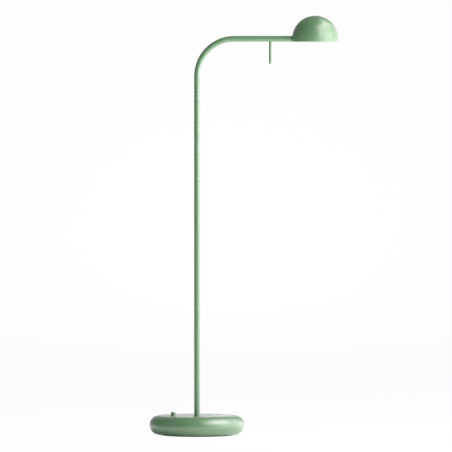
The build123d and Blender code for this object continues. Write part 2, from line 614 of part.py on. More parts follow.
def terminal_block():
    """Two-pole screw terminal at the driver's input end, where a mains cord is wired."""
    face = DRIVER_HIGH[1]
    body = block((TERMINAL_X - 7, TERMINAL_X + 7), (face, face + 11), (BALLAST_TOP, BALLAST_TOP + 11))
    body = chamfer(body.edges().group_by(Axis.Z)[-1].filter_by(Axis.X), 1.5)
    for x, y in TERMINAL_SCREWS:
        body -= rod_z(1.8, TERMINAL_SEAT, BALLAST_TOP + 12, x, y)
        body -= Pos(x, face + 8, BALLAST_TOP + 3.4) * Rot(-90, 0, 0) * Cylinder(
            1.4, 5, align=(Align.CENTER, Align.CENTER, Align.MIN))
    return body


def terminal_screws():
    """The terminal block's two wire screws."""
    screw = rod_z(1.7, TERMINAL_SEAT, TERMINAL_SEAT + 3.6)
    screw -= block((-1.7, 1.7), (-0.3, 0.3), (TERMINAL_SEAT + 2.8, TERMINAL_SEAT + 4))
    return together([Pos(x, y, 0) * screw for x, y in TERMINAL_SCREWS])


OUTPUT_PLUG_X = DRIVER_X - 7.0


def output_plug():
    """Plug on the driver's side that the lamp's lead leaves."""
    body = block((OUTPUT_PLUG_X, DRIVER_X), (-4, 4), (LEAD_LEVEL - 3.0, LEAD_LEVEL + 3.5))
    return chamfer(body.edges().filter_by(Axis.X), 0.6)


# ---------------------------------------------------------------- leads
ON_BALLAST = BALLAST_TOP + SWITCH_LEAD_DIAMETER / 2 + GAP
SWITCH_LEAD_LEVEL = SWITCH_BOARD_TOP + 2.6
SWITCH_LEAD_IN = BOARD_FACE + 2.4
SWITCH_LEAD_POINTS = [
    Vector(BUTTON_X, -14.0, SWITCH_LEAD_LEVEL),
    Vector(BUTTON_X, -26.0, SWITCH_LEAD_LEVEL),
    Vector(BUTTON_X + 14.0, -37.0, ON_BALLAST),
    Vector(BUTTON_X + 38.0, -41.0, ON_BALLAST),
    Vector(BUTTON_X + 62.0, -39.0, ON_BALLAST + 1.0),
    Vector(DRIVER_X - 20.0, SWITCH_LEAD_Y, SWITCH_LEAD_IN),
    Vector(SWITCH_PLUG_X, SWITCH_LEAD_Y, SWITCH_LEAD_IN),
]


def corner_radii(points, share=0.45):
    """For each corner, that share of its shorter run over the tangent of half the turn."""
    radii = []
    for before, at, after in zip(points, points[1:], points[2:]):
        turn = radians((at - before).get_angle(after - at))
        radii.append(share * min((at - before).length, (after - at).length) / (sin(turn / 2) / cos(turn / 2)))
    return radii


def switch_lead():
    """Thin lead from the switch board round the hub to the driver, lying on the ballast."""
    radii = corner_radii(SWITCH_LEAD_POINTS)
    print("switch lead radii", [round(r, 1) for r in radii])
    path = FilletPolyline(*SWITCH_LEAD_POINTS, radius=radii)
    return swept_lead(path, SWITCH_LEAD_DIAMETER / 2)


def stem_lead():
    """Lead from the driver in at the tube's window, up the stem, round the bend and along to the joint."""
    out, up = LEAD_BEND, LEAD_LEVEL + LEAD_BEND
    half = sqrt(0.5)
    bend_low = ARM_HEIGHT - BEND_RADIUS
    path = Wire([
        Line((OUTPUT_PLUG_X, 0, LEAD_LEVEL), (out, 0, LEAD_LEVEL)),
        ThreePointArc((out, 0, LEAD_LEVEL), (out - LEAD_BEND * half, 0, up - LEAD_BEND * half), (0, 0, up)),
        Line((0, 0, up), (0, 0, bend_low)),
        ThreePointArc((0, 0, bend_low), (BEND_RADIUS * (1 - half), 0, bend_low + BEND_RADIUS * half),
                      (BEND_RADIUS, 0, ARM_HEIGHT)),
        Line((BEND_RADIUS, 0, ARM_HEIGHT), (LEAD_SPLIT, 0, ARM_HEIGHT)),
    ])
    return swept_lead(path, LEAD_R)


LEAD_SPLIT = HOUSING_REAR - 12.0
HEAD_LEAD_BEND = 9.0
SOCKET_X = BLOCK_END + HEAD_LEAD_BEND
SOCKET_BOTTOM = ARM_HEIGHT + HEAD_LEAD_BEND


def head_lead():
    """The same lead beyond the joint's twist, through the spindle and bracket and up to the lamp board."""
    half = sqrt(0.5)
    turn = HEAD_LEAD_BEND
    path = Wire([
        Line((LEAD_SPLIT + SEAT_GAP, 0, ARM_HEIGHT), (BLOCK_END, 0, ARM_HEIGHT)),
        ThreePointArc(
            (BLOCK_END, 0, ARM_HEIGHT),
            (BLOCK_END + turn * half, 0, ARM_HEIGHT + turn * (1 - half)),
            (SOCKET_X, 0, SOCKET_BOTTOM)),
    ])
    return swept_lead(path, LEAD_R)


# ---------------------------------------------------------------- tube and turning joint
def stem_tube():
    """One tube from the base, round the bend, to the joint, with the lead's window near its foot."""
    half = sqrt(0.5)
    bend_low = ARM_HEIGHT - BEND_RADIUS
    path = Wire([
        Line((0, 0, STEM_FOOT), (0, 0, bend_low)),
        ThreePointArc((0, 0, bend_low), (BEND_RADIUS * (1 - half), 0, bend_low + BEND_RADIUS * half),
                      (BEND_RADIUS, 0, ARM_HEIGHT)),
        Line((BEND_RADIUS, 0, ARM_HEIGHT), (SEAM_X, 0, ARM_HEIGHT)),
    ])
    foot = Plane(origin=(0, 0, STEM_FOOT), z_dir=(0, 0, 1))
    tube = sweep(foot * Circle(TUBE_R), path=path) - sweep(foot * Circle(TUBE_IR), path=path)
    width = LEAD_DIAMETER + 1.4
    window = block((0, TUBE_R + 1), (-width / 2, width / 2), (WINDOW_BOTTOM, WINDOW_TOP))
    window = fillet(window.edges().filter_by(Axis.X), width / 2 - 0.1)
    return tube - window


def bearing_housing():
    """Sleeve fixed in the tube's end, with a seat for a bush at each end and the stop's slot."""
    housing = rod_x(HOUSING_R, HOUSING_REAR, HOUSING_FRONT)
    housing -= rod_x(HOUSING_IR, HOUSING_REAR - 1, HOUSING_FRONT + 1)
    return housing - stop_slot()


STOP_X = (HOUSING_REAR + HOUSING_FRONT) / 2
STOP_SIDE = 0.25               # space left between the pin and the slot's ends at the limits


def stop_slot():
    """Arc slot over the top of the housing, the stop pin's travel long."""
    slot_r = STOP_PIN_DIAMETER / 2 + GAP
    reach = STOP_ANGLE + degrees(asin((slot_r + STOP_SIDE) / HOUSING_R))
    outline = Plane.YZ * make_face(
        Polyline([(0, 0)] + [(2 * HOUSING_R * sin(radians(a)), 2 * HOUSING_R * cos(radians(a)))
                             for a in (-reach, -reach / 2, 0, reach / 2, reach)], close=True))
    return Pos(STOP_X - slot_r, 0, ARM_HEIGHT) * extrude(outline, 2 * slot_r)


def flanged_bush(inner_face, outward):
    """Plain bush with its flange at inner_face, its barrel running the other way from outward."""
    barrel = sorted((inner_face, inner_face - outward * BUSH_LENGTH))
    flange = sorted((inner_face, inner_face + outward * BUSH_FLANGE))
    bush = rod_x(HOUSING_IR - FIT, *barrel) + rod_x(BUSH_FLANGE_R, *flange)
    return bush - rod_x(JOURNAL_R + RUNNING, barrel[0] - 3, barrel[1] + 3)


def rear_bush():
    """Bush at the joint's inner end."""
    return flanged_bush(HOUSING_REAR, -1)


def front_bush():
    """Bush at the seam, whose flange the spindle's collar turns on."""
    return flanged_bush(HOUSING_FRONT, 1)


WASHER_FACE = HOUSING_REAR - BUSH_FLANGE - SEAT_GAP
WASHER = 1.0
DISC_SPRING = 1.4
NUT = 5.0
SPRING_FACE = WASHER_FACE - WASHER
NUT_FACE = SPRING_FACE - DISC_SPRING
SPINDLE_REAR = NUT_FACE - NUT - 1.5
ROD_R = JOURNAL_R


def spindle():
    """Hollow shaft of the head: journal in the bushes, collar under the handle, rod to the bracket."""
    shaft = rod_x(JOURNAL_R, SPINDLE_REAR, COLLAR_START) + rod_x(TUBE_IR - FIT, COLLAR_START, COLLAR_END)
    shaft += rod_x(ROD_R, COLLAR_END, THREAD_END)
    shaft = chamfer(shaft.edges().sort_by(Axis.X)[:1], 0.4)
    shaft -= rod_x(SPINDLE_BORE, SPINDLE_REAR - 1, THREAD_END + 1)
    shaft -= rod_z(HANDLE_STUD / 2, HANDLE_SEAT - 2, STUD_TIP, HANDLE_X)
    return shaft - rod_z(STOP_PIN_DIAMETER / 2, STOP_PIN_FOOT, ARM_HEIGHT + TUBE_R, STOP_X)


STOP_PIN_FOOT = ARM_HEIGHT + SPINDLE_BORE + 0.5


def stop_pin():
    """Radial pin in the spindle that meets the ends of the housing's slot."""
    return rod_z(STOP_PIN_DIAMETER / 2 - 0.01, STOP_PIN_FOOT, ARM_HEIGHT + HOUSING_R - 0.25, STOP_X)


def thrust_washer():
    """Steel washer against the rear bush."""
    return rod_x(BUSH_FLANGE_R - GAP / 2, SPRING_FACE, WASHER_FACE) - rod_x(
        JOURNAL_R + THREAD_GAP, SPRING_FACE - 1, WASHER_FACE + 1)


def disc_spring():
    """Coned spring washer whose push gives the joint its friction."""
    inner, outer = JOURNAL_R + THREAD_GAP, BUSH_FLANGE_R - GAP / 2
    sheet = 0.5
    ring = make_face(Polyline([(NUT_FACE, inner), (NUT_FACE + sheet, inner), (SPRING_FACE, outer),
                               (SPRING_FACE - sheet, outer)], close=True))
    return Pos(0, 0, ARM_HEIGHT) * revolve(ring, Axis.X, 360)


def lock_nut():
    """Slotted round nut that sets the joint's friction."""
    nut = rod_x(BUSH_FLANGE_R - GAP / 2, NUT_FACE - NUT, NUT_FACE)
    nut = chamfer(nut.edges().sort_by(Axis.X)[:1], 0.4)
    nut -= rod_x(JOURNAL_R + THREAD_GAP, NUT_FACE - NUT - 1, NUT_FACE + 1)
    for angle in (0, 90):
        nut -= Pos(NUT_FACE - NUT, 0, ARM_HEIGHT) * Rot(angle, 0, 0) * Box(3.0, 1.6, 3 * TUBE_R)
    return nut


# ---------------------------------------------------------------- arm and handle
HANDLE_SEAT = ARM_HEIGHT - sqrt(TUBE_R ** 2 - (HANDLE_DIAMETER / 2 + RUNNING) ** 2)
STUD_TIP = ARM_HEIGHT - SPINDLE_BORE - 0.4


def arm_tube():
    """Turning length of tube from the seam into the shade, with the handle's flat seat."""
    arm = rod_x(TUBE_R, ARM_START, ARM_END) - rod_x(TUBE_IR, ARM_START - 1, ARM_END + 1)
    arm = chamfer(arm.edges().sort_by(Axis.X)[:1], 0.25)
    arm -= rod_z(HANDLE_DIAMETER / 2 + RUNNING, RIM - 2, HANDLE_SEAT, HANDLE_X)
    return arm - rod_z(HANDLE_STUD / 2 + GAP / 2, RIM - 2, ARM_HEIGHT - TUBE_IR / 2, HANDLE_X)


def handle():
    """Slim pin screwed up through the arm into the spindle, by which the head is turned."""
    pin = rod_z(HANDLE_DIAMETER / 2, RIM - HANDLE_LENGTH, HANDLE_SEAT, HANDLE_X)
    pin = chamfer(pin.edges().sort_by(Axis.Z)[:1], 0.5)
    return pin + rod_z(HANDLE_STUD / 2 - THREAD_GAP, HANDLE_SEAT - 1, STUD_TIP - 0.1, HANDLE_X)


# ---------------------------------------------------------------- shade and lamp
def shade():
    """Domed shade with a screw boss in its crown and a notch in its rim for the arm."""
    shell = dome(SHADE_R) - dome(SHADE_IR, RIM - 1)
    shell = fillet(shell.edges().filter_by(GeomType.CIRCLE).group_by(Axis.Z)[0].sort_by(SortBy.LENGTH)[-1:],
                   min(RIM_ROUND, 0.9 * SHADE_WALL))
    notch_r = TUBE_R + GAP / 2
    outside, inside = ARM_REACH - SHADE_R - 5, ARM_REACH - SHADE_IR / 2
    notch = rod_x(notch_r, outside, inside)
    notch += block((outside, inside), (-notch_r, notch_r), (RIM - 5, ARM_HEIGHT))
    shell -= notch
    boss = rod_z(CROWN_BOSS_R, COLUMN_TOP, SHADE_ROOF + 1, ARM_REACH) & dome(SHADE_R - SHADE_WALL / 2)
    shell += boss
    return shell - rod_z(M4[0] / 2, COLUMN_TOP - 1, SHADE_ROOF - SCREW_COVER, ARM_REACH)


def heat_sink():
    """Aluminium plate with radial fins and a centre column, inside the shade."""
    plate = rod_z(SHADE_IR - SINK_MARGIN, SINK_BOTTOM, SINK_TOP, ARM_REACH) & dome(SHADE_IR - SINK_MARGIN / 2)
    column = rod_z(COLUMN_R, SINK_BOTTOM, COLUMN_TOP, ARM_REACH)
    fin = block((0, SHADE_IR), (-FIN_THICKNESS / 2, FIN_THICKNESS / 2), (SINK_TOP - 0.5, COLUMN_TOP - 1.5))
    fins = [Pos(ARM_REACH, 0, 0) * Rot(0, 0, 360 / SINK_FINS * (i + 0.5)) * fin for i in range(SINK_FINS)]
    cut = dome(SHADE_IR - SINK_MARGIN)
    sink = plate + column + [f & cut for f in fins]
    sink -= rod_z(M4[0] / 2 + GAP, SINK_BOTTOM - 1, COLUMN_TOP + 1, ARM_REACH)
    sink -= rod_z(M4[1] / 2 + 0.6, SINK_BOTTOM - 1, CROWN_SCREW_SEAT, ARM_REACH)
    for x, y in BRACKET_SCREWS:
        sink -= rod_z(M3[0] / 2 + 0.2, SINK_BOTTOM - 1, SINK_TOP + 1, x, y)
        sink -= rod_z(M3[1] / 2 + 0.6, SINK_TOP, COLUMN_TOP + 1, x, y)
    for x, y in BOARD_SCREWS:
        sink -= rod_z(M25[0] / 2, SINK_BOTTOM - 1, SINK_BOTTOM + 3.0, x, y)
    return sink


BRACKET_SCREWS = [(ARM_END + BRACKET_DEPTH * 0.66, y) for y in (-8.0, 8.0)]
BOARD_SCREWS = round_places(3, BOARD_R - 4.0, 0, ARM_REACH)
THREAD_START = ARM_END - SPIGOT_LENGTH
THREAD_END = THREAD_START + SPINDLE_THREAD


def head_bracket():
    """Die-cast block that screws onto the spindle, fills the arm's end and carries the heat sink."""
    clear = dome(BLOCK_R, BLOCK_BOTTOM)
    body = block((ARM_END - 5, BLOCK_END), (-13, 13), (BLOCK_BOTTOM, SINK_BOTTOM)) & clear
    neck = rod_x(TUBE_IR - FIT, ARM_END - 1, BLOCK_END - 2) & block(
        (ARM_END - 1, BLOCK_END), (-TUBE_R, TUBE_R), (BLOCK_BOTTOM, SINK_BOTTOM))
    bracket = body + neck + rod_x(TUBE_IR - FIT, THREAD_START, ARM_END)
    bracket -= rod_x(ROD_R + THREAD_GAP, THREAD_START - 1, THREAD_END)
    bracket -= rod_x(LEAD_R + 0.4, THREAD_END - 1, BLOCK_END + 1)
    for x, y in BRACKET_SCREWS:
        bracket -= rod_z(M3[0] / 2, SINK_BOTTOM - 9, SINK_BOTTOM + 1, x, y)
    return bracket


def bracket_screws():
    """Two screws down through the heat sink into the bracket."""
    screw = cap_screw(M3, SINK_PLATE + 8.0)
    return together([Pos(x, y, SINK_TOP) * screw for x, y in BRACKET_SCREWS])


def shade_screw():
    """Screw up the heat sink's column into the shade's crown."""
    length = SHADE_ROOF - SCREW_COVER - 0.5 - CROWN_SCREW_SEAT
    return Pos(ARM_REACH, 0, CROWN_SCREW_SEAT) * Rot(180, 0, 0) * cap_screw(M4, length)


def lamp_board():
    """Round metal-cored circuit board under the heat sink."""
    board = rod_z(BOARD_R, BOARD_BOTTOM, SINK_BOTTOM, ARM_REACH)
    board -= rod_z(M4[1] / 2 + 0.6, BOARD_BOTTOM - 1, SINK_BOTTOM + 1, ARM_REACH)
    for x, y in BOARD_SCREWS:
        board -= rod_z(M25[0] / 2 + 0.2, BOARD_BOTTOM - 1, SINK_BOTTOM + 1, x, y)
    return board


def board_screws():
    """Three screws of the lamp board."""
    screw = Rot(180, 0, 0) * cap_screw((M25[0], M25[1], 1.6, M25[3]), BOARD_THICKNESS + 2.6)
    return together([Pos(x, y, BOARD_BOTTOM) * screw for x, y in BOARD_SCREWS])


def light_emitters():
    """Small light-emitting chips on the board, as separate solids."""
    long, wide, high = EMITTER_SIZE
    made = []
    for count, radius in EMITTER_RINGS:
        for i in range(count):
            angle = 360.0 / count * i
            chip = Box(long, wide, high, align=(Align.CENTER, Align.CENTER, Align.MAX))
            made.append(Pos(ARM_REACH, 0, BOARD_BOTTOM) * Rot(0, 0, angle) * Pos(radius, 0, 0) * chip)
    return together(made)


def lamp_socket():
    """Socket on the lamp board that takes the head's lead from below."""
    return block((SOCKET_X - 3, SOCKET_X + 3), (-4, 4), (SOCKET_BOTTOM, BOARD_BOTTOM))


def reflector():
    """White cone from the board's edge down to the diffuser."""
    high = BOARD_BOTTOM - 0.2
    low = DIFFUSER_TOP
    return turned([
        (REFLECTOR_TOP_R, high), (REFLECTOR_TOP_R + REFLECTOR_WALL, high),
        (REFLECTOR_BOTTOM_R, low + 1.0), (REFLECTOR_BOTTOM_R, low),
        (REFLECTOR_BOTTOM_R - REFLECTOR_WALL, low)], ARM_REACH)


def diffuser():
    """Opal disc that closes the shade underneath."""
    disc = rod_z(BEZEL_R - 3.2, DIFFUSER_BOTTOM, DIFFUSER_TOP, ARM_REACH)
    return chamfer(disc.edges(), 0.3)


def bezel_ring():
    """Ring just inside the shade's rim that carries the diffuser."""
    wall = 3.0
    return turned([
        (BEZEL_R - BEZEL_WIDTH, BEZEL_BOTTOM), (BEZEL_R, BEZEL_BOTTOM), (BEZEL_R, DIFFUSER_TOP),
        (BEZEL_R - wall, DIFFUSER_TOP), (BEZEL_R - wall, DIFFUSER_BOTTOM),
        (BEZEL_R - BEZEL_WIDTH, DIFFUSER_BOTTOM)], ARM_REACH)


# ---------------------------------------------------------------- files
SUB_PARTS = [
    base_shell, ballast, base_plate, foot_pad, plate_screws, shell_screws, stem_hub, hub_screws, stem_plug,
    stem_washer, stem_bolt, cord_clamp, clamp_screws, cable_outlet, button_cap, button_spring, button_guide,
    guide_screws, switch_board, switch_board_screws, tact_switch, switch_plunger, switch_socket, driver_case,
    driver_lid, driver_screws, driver_board, driver_parts, terminal_block, terminal_screws, output_plug,
    switch_lead, stem_lead, head_lead, stem_tube, bearing_housing, rear_bush, front_bush, spindle, stop_pin,
    thrust_washer, disc_spring, lock_nut, arm_tube, handle, shade, heat_sink, head_bracket, bracket_screws,
    shade_screw, lamp_board, board_screws, light_emitters, lamp_socket, reflector, diffuser, bezel_ring,
]


def main():
    os.makedirs("parts", exist_ok=True)
    for make in SUB_PARTS:
        export_step(make(), f"parts/{make.__name__}.step")


main()
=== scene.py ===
"""Floor lamp with a turning head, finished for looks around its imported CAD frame.

Metres, in the frame's own axes: +Z up, +X from the stem towards the shade. The outside pieces
are surfaces worked out with numpy: an outline turned about an axis, a ring carried along a route or
a helix, or a flat shape carried straight.
"""

import json
from math import cos, radians, sin

import bmesh
import bpy
import numpy as np
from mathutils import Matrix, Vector


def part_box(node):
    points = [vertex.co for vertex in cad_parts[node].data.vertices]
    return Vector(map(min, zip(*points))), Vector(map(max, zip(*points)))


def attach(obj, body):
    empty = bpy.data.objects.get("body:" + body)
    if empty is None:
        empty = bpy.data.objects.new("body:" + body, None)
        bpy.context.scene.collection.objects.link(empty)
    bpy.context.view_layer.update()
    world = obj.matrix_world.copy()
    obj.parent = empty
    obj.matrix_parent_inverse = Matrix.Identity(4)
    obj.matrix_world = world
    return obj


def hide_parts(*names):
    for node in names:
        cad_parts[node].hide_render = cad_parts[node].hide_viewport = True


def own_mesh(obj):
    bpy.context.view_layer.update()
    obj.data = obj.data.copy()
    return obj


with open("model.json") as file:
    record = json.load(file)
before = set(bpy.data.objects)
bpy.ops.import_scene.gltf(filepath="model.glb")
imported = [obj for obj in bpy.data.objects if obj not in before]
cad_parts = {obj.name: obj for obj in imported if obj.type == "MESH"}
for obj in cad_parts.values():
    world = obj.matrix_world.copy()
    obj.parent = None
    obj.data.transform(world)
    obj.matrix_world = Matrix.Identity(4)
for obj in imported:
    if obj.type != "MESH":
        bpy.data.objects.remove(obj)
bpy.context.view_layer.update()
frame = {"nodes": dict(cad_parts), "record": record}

MM = 0.001

# ---------------------------------------------------------------- places read from the frame
shell_low, shell_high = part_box("base_shell")
pad_low, pad_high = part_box("foot_pad")
pipe_low, pipe_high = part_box("stem_tube")
sleeve_low, sleeve_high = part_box("arm_tube")
grip_low, grip_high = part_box("handle")
shade_low, shade_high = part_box("shade")
button_low, button_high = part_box("button_cap")
spring_low, spring_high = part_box("button_spring")
bezel_low, bezel_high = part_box("bezel_ring")
diffuser_low, diffuser_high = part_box("diffuser")
cone_low, cone_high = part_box("reflector")
outlet_low, outlet_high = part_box("cable_outlet")
sink_low, sink_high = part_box("heat_sink")

# Sizes that the boxes don't give
PIPE_WALL = 1.5 * MM
PIPE_END_CHAMFER = 0.25 * MM
SHELL_WALL = 2.0 * MM
SHELL_LIP = 3.25 * MM
SHADE_WALL = 2.2 * MM
RIM_ROUND = 1.9 * MM
BEND_RADIUS = 102.0 * MM
BUTTON_WALL = 1.6 * MM
BUTTON_R = 6.5 * MM
BUTTON_STEM_R = 2.0 * MM
SPRING_ROOM = 6.5 * MM          # from the button's top down to the roof over its spring
CATCH_HEIGHT = 2.0 * MM
GRIP_STUD_R = 2.45 * MM
GRIP_CLEAR = 0.05 * MM
STUD_CLEAR = 0.2 * MM
OUTLET_HOLE_R = 5.95 * MM
CLEAR = 0.3 * MM
HALF_CLEAR = 0.15 * MM

# How close two points are before they count as one
SAME_POINT = 1e-8
SAME_VERTEX = 1e-7

# Places that follow
PIPE_R = (pipe_high.y - pipe_low.y) / 2
PIPE_BORE = PIPE_R - PIPE_WALL
ARM_LEVEL = pipe_high.z - PIPE_R
BASE_R = shell_high.x
EDGE_R = (shell_high.z - shell_low.z) / 2
EDGE_CENTRE = BASE_R - EDGE_R
EDGE_LEVEL = (shell_high.z + shell_low.z) / 2
SHADE_R = (shade_high.y - shade_low.y) / 2
SHADE_X = (sink_low.x + sink_high.x) / 2
RIM = shade_low.z
DOME_LEVEL = shade_high.z - SHADE_R
GRIP_X = (grip_low.x + grip_high.x) / 2
GRIP_R = (grip_high.x - grip_low.x) / 2
GRIP_SEAT = ARM_LEVEL - (PIPE_R ** 2 - (GRIP_R + GRIP_CLEAR) ** 2) ** 0.5
BUTTON_X = (button_low.x + button_high.x) / 2
CATCH_R = (button_high.x - button_low.x) / 2
SHELL_ROOF = shell_high.z - SHELL_WALL
OUTLET_LEVEL = (outlet_low.z + outlet_high.z) / 2


# ---------------------------------------------------------------- outlines
def arc(centre, radius, start, end, steps):
    """Points on a circle: centre plus radius times the cosine and sine of angles that go evenly
    from start to end."""
    a = np.radians(np.linspace(start, end, steps + 1))
    return np.column_stack([centre[0] + radius * np.cos(a), centre[1] + radius * np.sin(a)])


def line(start, end, steps=1, near=0.4 * MM):
    """Points evenly along a line, and one close to each end, so that its shading stays flat up to
    the ends."""
    start, end = np.asarray(start, float), np.asarray(end, float)
    margin = min(0.25, near / max(np.linalg.norm(end - start), SAME_POINT))
    share = np.unique(np.concatenate([np.linspace(0, 1, steps + 1), [margin, 1 - margin]]))
    return start + share[:, None] * (end - start)


def outline(*runs):
    """The runs one after another, without the points that two of them share."""
    points = np.vstack(runs)
    step = np.linalg.norm(np.diff(points, axis=0), axis=1)
    return points[np.concatenate([[True], step > SAME_POINT])]


# ---------------------------------------------------------------- surfaces
def surface(name, points, wrap_rows, wrap_columns=True):
    """Mesh over a grid of points: neighbours in both directions make a face, and poles are
    welded."""
    rows, columns = points.shape[:2]
    i = np.arange(rows if wrap_rows else rows - 1)[:, None]
    j = np.arange(columns if wrap_columns else columns - 1)[None, :]
    i_next, j_next = (i + 1) % rows, (j + 1) % columns
    here, there = i * columns, i_next * columns
    faces = np.stack([here + j, here + j_next, there + j_next, there + j], axis=-1).reshape(-1, 4)
    mesh = bpy.data.meshes.new(name)
    mesh.from_pydata(points.reshape(-1, 3).tolist(), [], faces.tolist())
    return finished(name, mesh)


def finished(name, mesh):
    """Object of a mesh whose doubles are welded and whose faces point outwards."""
    work = bmesh.new()
    work.from_mesh(mesh)
    bmesh.ops.remove_doubles(work, verts=work.verts, dist=SAME_VERTEX)
    if work.calc_volume(signed=True) < 0:
        bmesh.ops.reverse_faces(work, faces=work.faces)
    work.to_mesh(mesh)
    work.free()
    obj = bpy.data.objects.new(name, mesh)
    bpy.context.scene.collection.objects.link(obj)
    crisp(obj)
    return obj


def crisp(obj, angle=33):
    """Smooth shading that breaks where two faces meet at more than the angle."""
    mesh = obj.data
    mesh.polygons.foreach_set("use_smooth", np.ones(len(mesh.polygons), bool))
    mesh.set_sharp_from_angle(angle=radians(angle))


def turned(name, profile, centre=(0, 0, 0), axis="Z", closed=False, around=192):
    """Outline of (radius, height) turned about an axis: each point runs round the circle of its
    radius at its height. A closed outline makes a ring, and an open one starts and ends on the
    axis."""
    t = np.linspace(0, 2 * np.pi, around, endpoint=False)
    radius, height = profile[:, 0:1], profile[:, 1:2]
    a, b, along = radius * np.cos(t), radius * np.sin(t), height + 0 * t
    order = {"Z": (a, b, along), "X": (along, a, b), "Y": (b, along, a)}[axis]
    return surface(name, np.stack(order, axis=-1) + np.asarray(centre), closed)


def prism(name, shape, start, end):
    """Flat closed shape of (y, z) points, carried along X from start to end, with a flat face at
    each end."""
    count = len(shape)
    ends = [np.column_stack([np.full(count, x), shape]) for x in (start, end)]
    turn = np.arange(count)
    after = (turn + 1) % count
    sides = np.column_stack([turn, after, after + count, turn + count]).tolist()
    caps = [turn[::-1].tolist(), (turn + count).tolist()]
    mesh = bpy.data.meshes.new(name)
    mesh.from_pydata(np.vstack(ends).tolist(), [], sides + caps)
    return finished(name, mesh)


def bent_route(s):
    """Place and in-plane normal on the stem's centreline, s along it: straight up, a quarter
    circle, straight on."""
    rise = ARM_LEVEL - BEND_RADIUS - pipe_low.z
    phi = np.clip((s - rise) / BEND_RADIUS, 0, np.pi / 2)
    before = np.minimum(s - rise, 0)
    after = np.maximum(s - rise - BEND_RADIUS * np.pi / 2, 0)
    x = BEND_RADIUS * (1 - np.cos(phi)) + after
    z = ARM_LEVEL - BEND_RADIUS + BEND_RADIUS * np.sin(phi) + before
    zero = 0 * s
    return np.column_stack([x, zero, z]), np.column_stack([-np.cos(phi), zero, np.sin(phi)])


def level_route(s):
    """Place and in-plane normal on the arm's centreline, s being X."""
    zero = 0 * s
    return np.column_stack([s, zero, zero + ARM_LEVEL]), np.column_stack([zero, zero, zero + 1])


def pipe(name, route, start, end, steps, around=96):
    """Round pipe along a route: rings of the outer radius out, a chamfered end, and rings of the
    bore back. A ring's points are its centre plus radius times the sum of cosine of t times the
    normal and sine of t times Y."""
    chamfer = PIPE_END_CHAMFER
    s = np.linspace(start, end, steps + 1)
    skin = outline(
        np.column_stack([s, np.full(len(s), PIPE_R)])[1:-1],
        [[end - chamfer, PIPE_R], [end, PIPE_R - chamfer], [end, PIPE_BORE]],
        np.column_stack([s, np.full(len(s), PIPE_BORE)])[::-1],
        [[start, PIPE_R - chamfer], [start + chamfer, PIPE_R]],
    )
    centre, normal = route(skin[:, 0])
    t = np.linspace(0, 2 * np.pi, around, endpoint=False)[None, :, None]
    radius = skin[:, 1][:, None, None]
    across = np.array([0.0, 1.0, 0.0])
    points = centre[:, None] + radius * (np.cos(t) * normal[:, None] + np.sin(t) * across)
    return surface(name, points, wrap_rows=True)


def cut(obj, *tools):
    """Takes the tools' shapes away from obj, and removes the tools."""
    for tool in tools:
        change = obj.modifiers.new("cut", "BOOLEAN")
        change.operation = "DIFFERENCE"
        change.solver = "EXACT"
        change.object = tool
    bpy.context.view_layer.update()
    result = obj.evaluated_get(bpy.context.evaluated_depsgraph_get())
    mesh = bpy.data.meshes.new_from_object(result)
    obj.modifiers.clear()
    obj.data = mesh
    for tool in tools:
        bpy.data.objects.remove(tool)
    crisp(obj)
    return obj


# ---------------------------------------------------------------- shader groups
def new_group(name, inputs, outputs):
    """Empty shader group with float inputs {name: value} and outputs {name: socket type}."""
    group = bpy.data.node_groups.new(name, "ShaderNodeTree")
    for label, value in inputs.items():
        socket = group.interface.new_socket(label, in_out="INPUT", socket_type="NodeSocketFloat")
        socket.default_value = value
    for label, kind in outputs.items():
        group.interface.new_socket(label, in_out="OUTPUT", socket_type=kind)
    return group, group.nodes.new("NodeGroupInput"), group.nodes.new("NodeGroupOutput")


def math(tree, operation, a, b, clamp=False):
    """Math node of two sockets or numbers; gives its output."""
    node = tree.nodes.new("ShaderNodeMath")
    node.operation = operation
    node.use_clamp = clamp
    for socket, value in zip(node.inputs, (a, b)):
        if isinstance(value, bpy.types.NodeSocket):
            tree.links.new(value, socket)
        else:
            socket.default_value = value
    return node.outputs[0]


def noise(tree, vector, scale, detail, roughness=0.5):
    """Noise of a scale, a socket or a number, over a vector; gives its grey output."""
    node = tree.nodes.new("ShaderNodeTexNoise")
    node.inputs["Detail"].default_value = detail
    node.inputs["Roughness"].default_value = roughness
    tree.links.new(vector, node.inputs["Vector"])
    if isinstance(scale, bpy.types.NodeSocket):
        tree.links.new(scale, node.inputs["Scale"])
    else:
        node.inputs["Scale"].default_value = scale
    return node.outputs["Fac"]


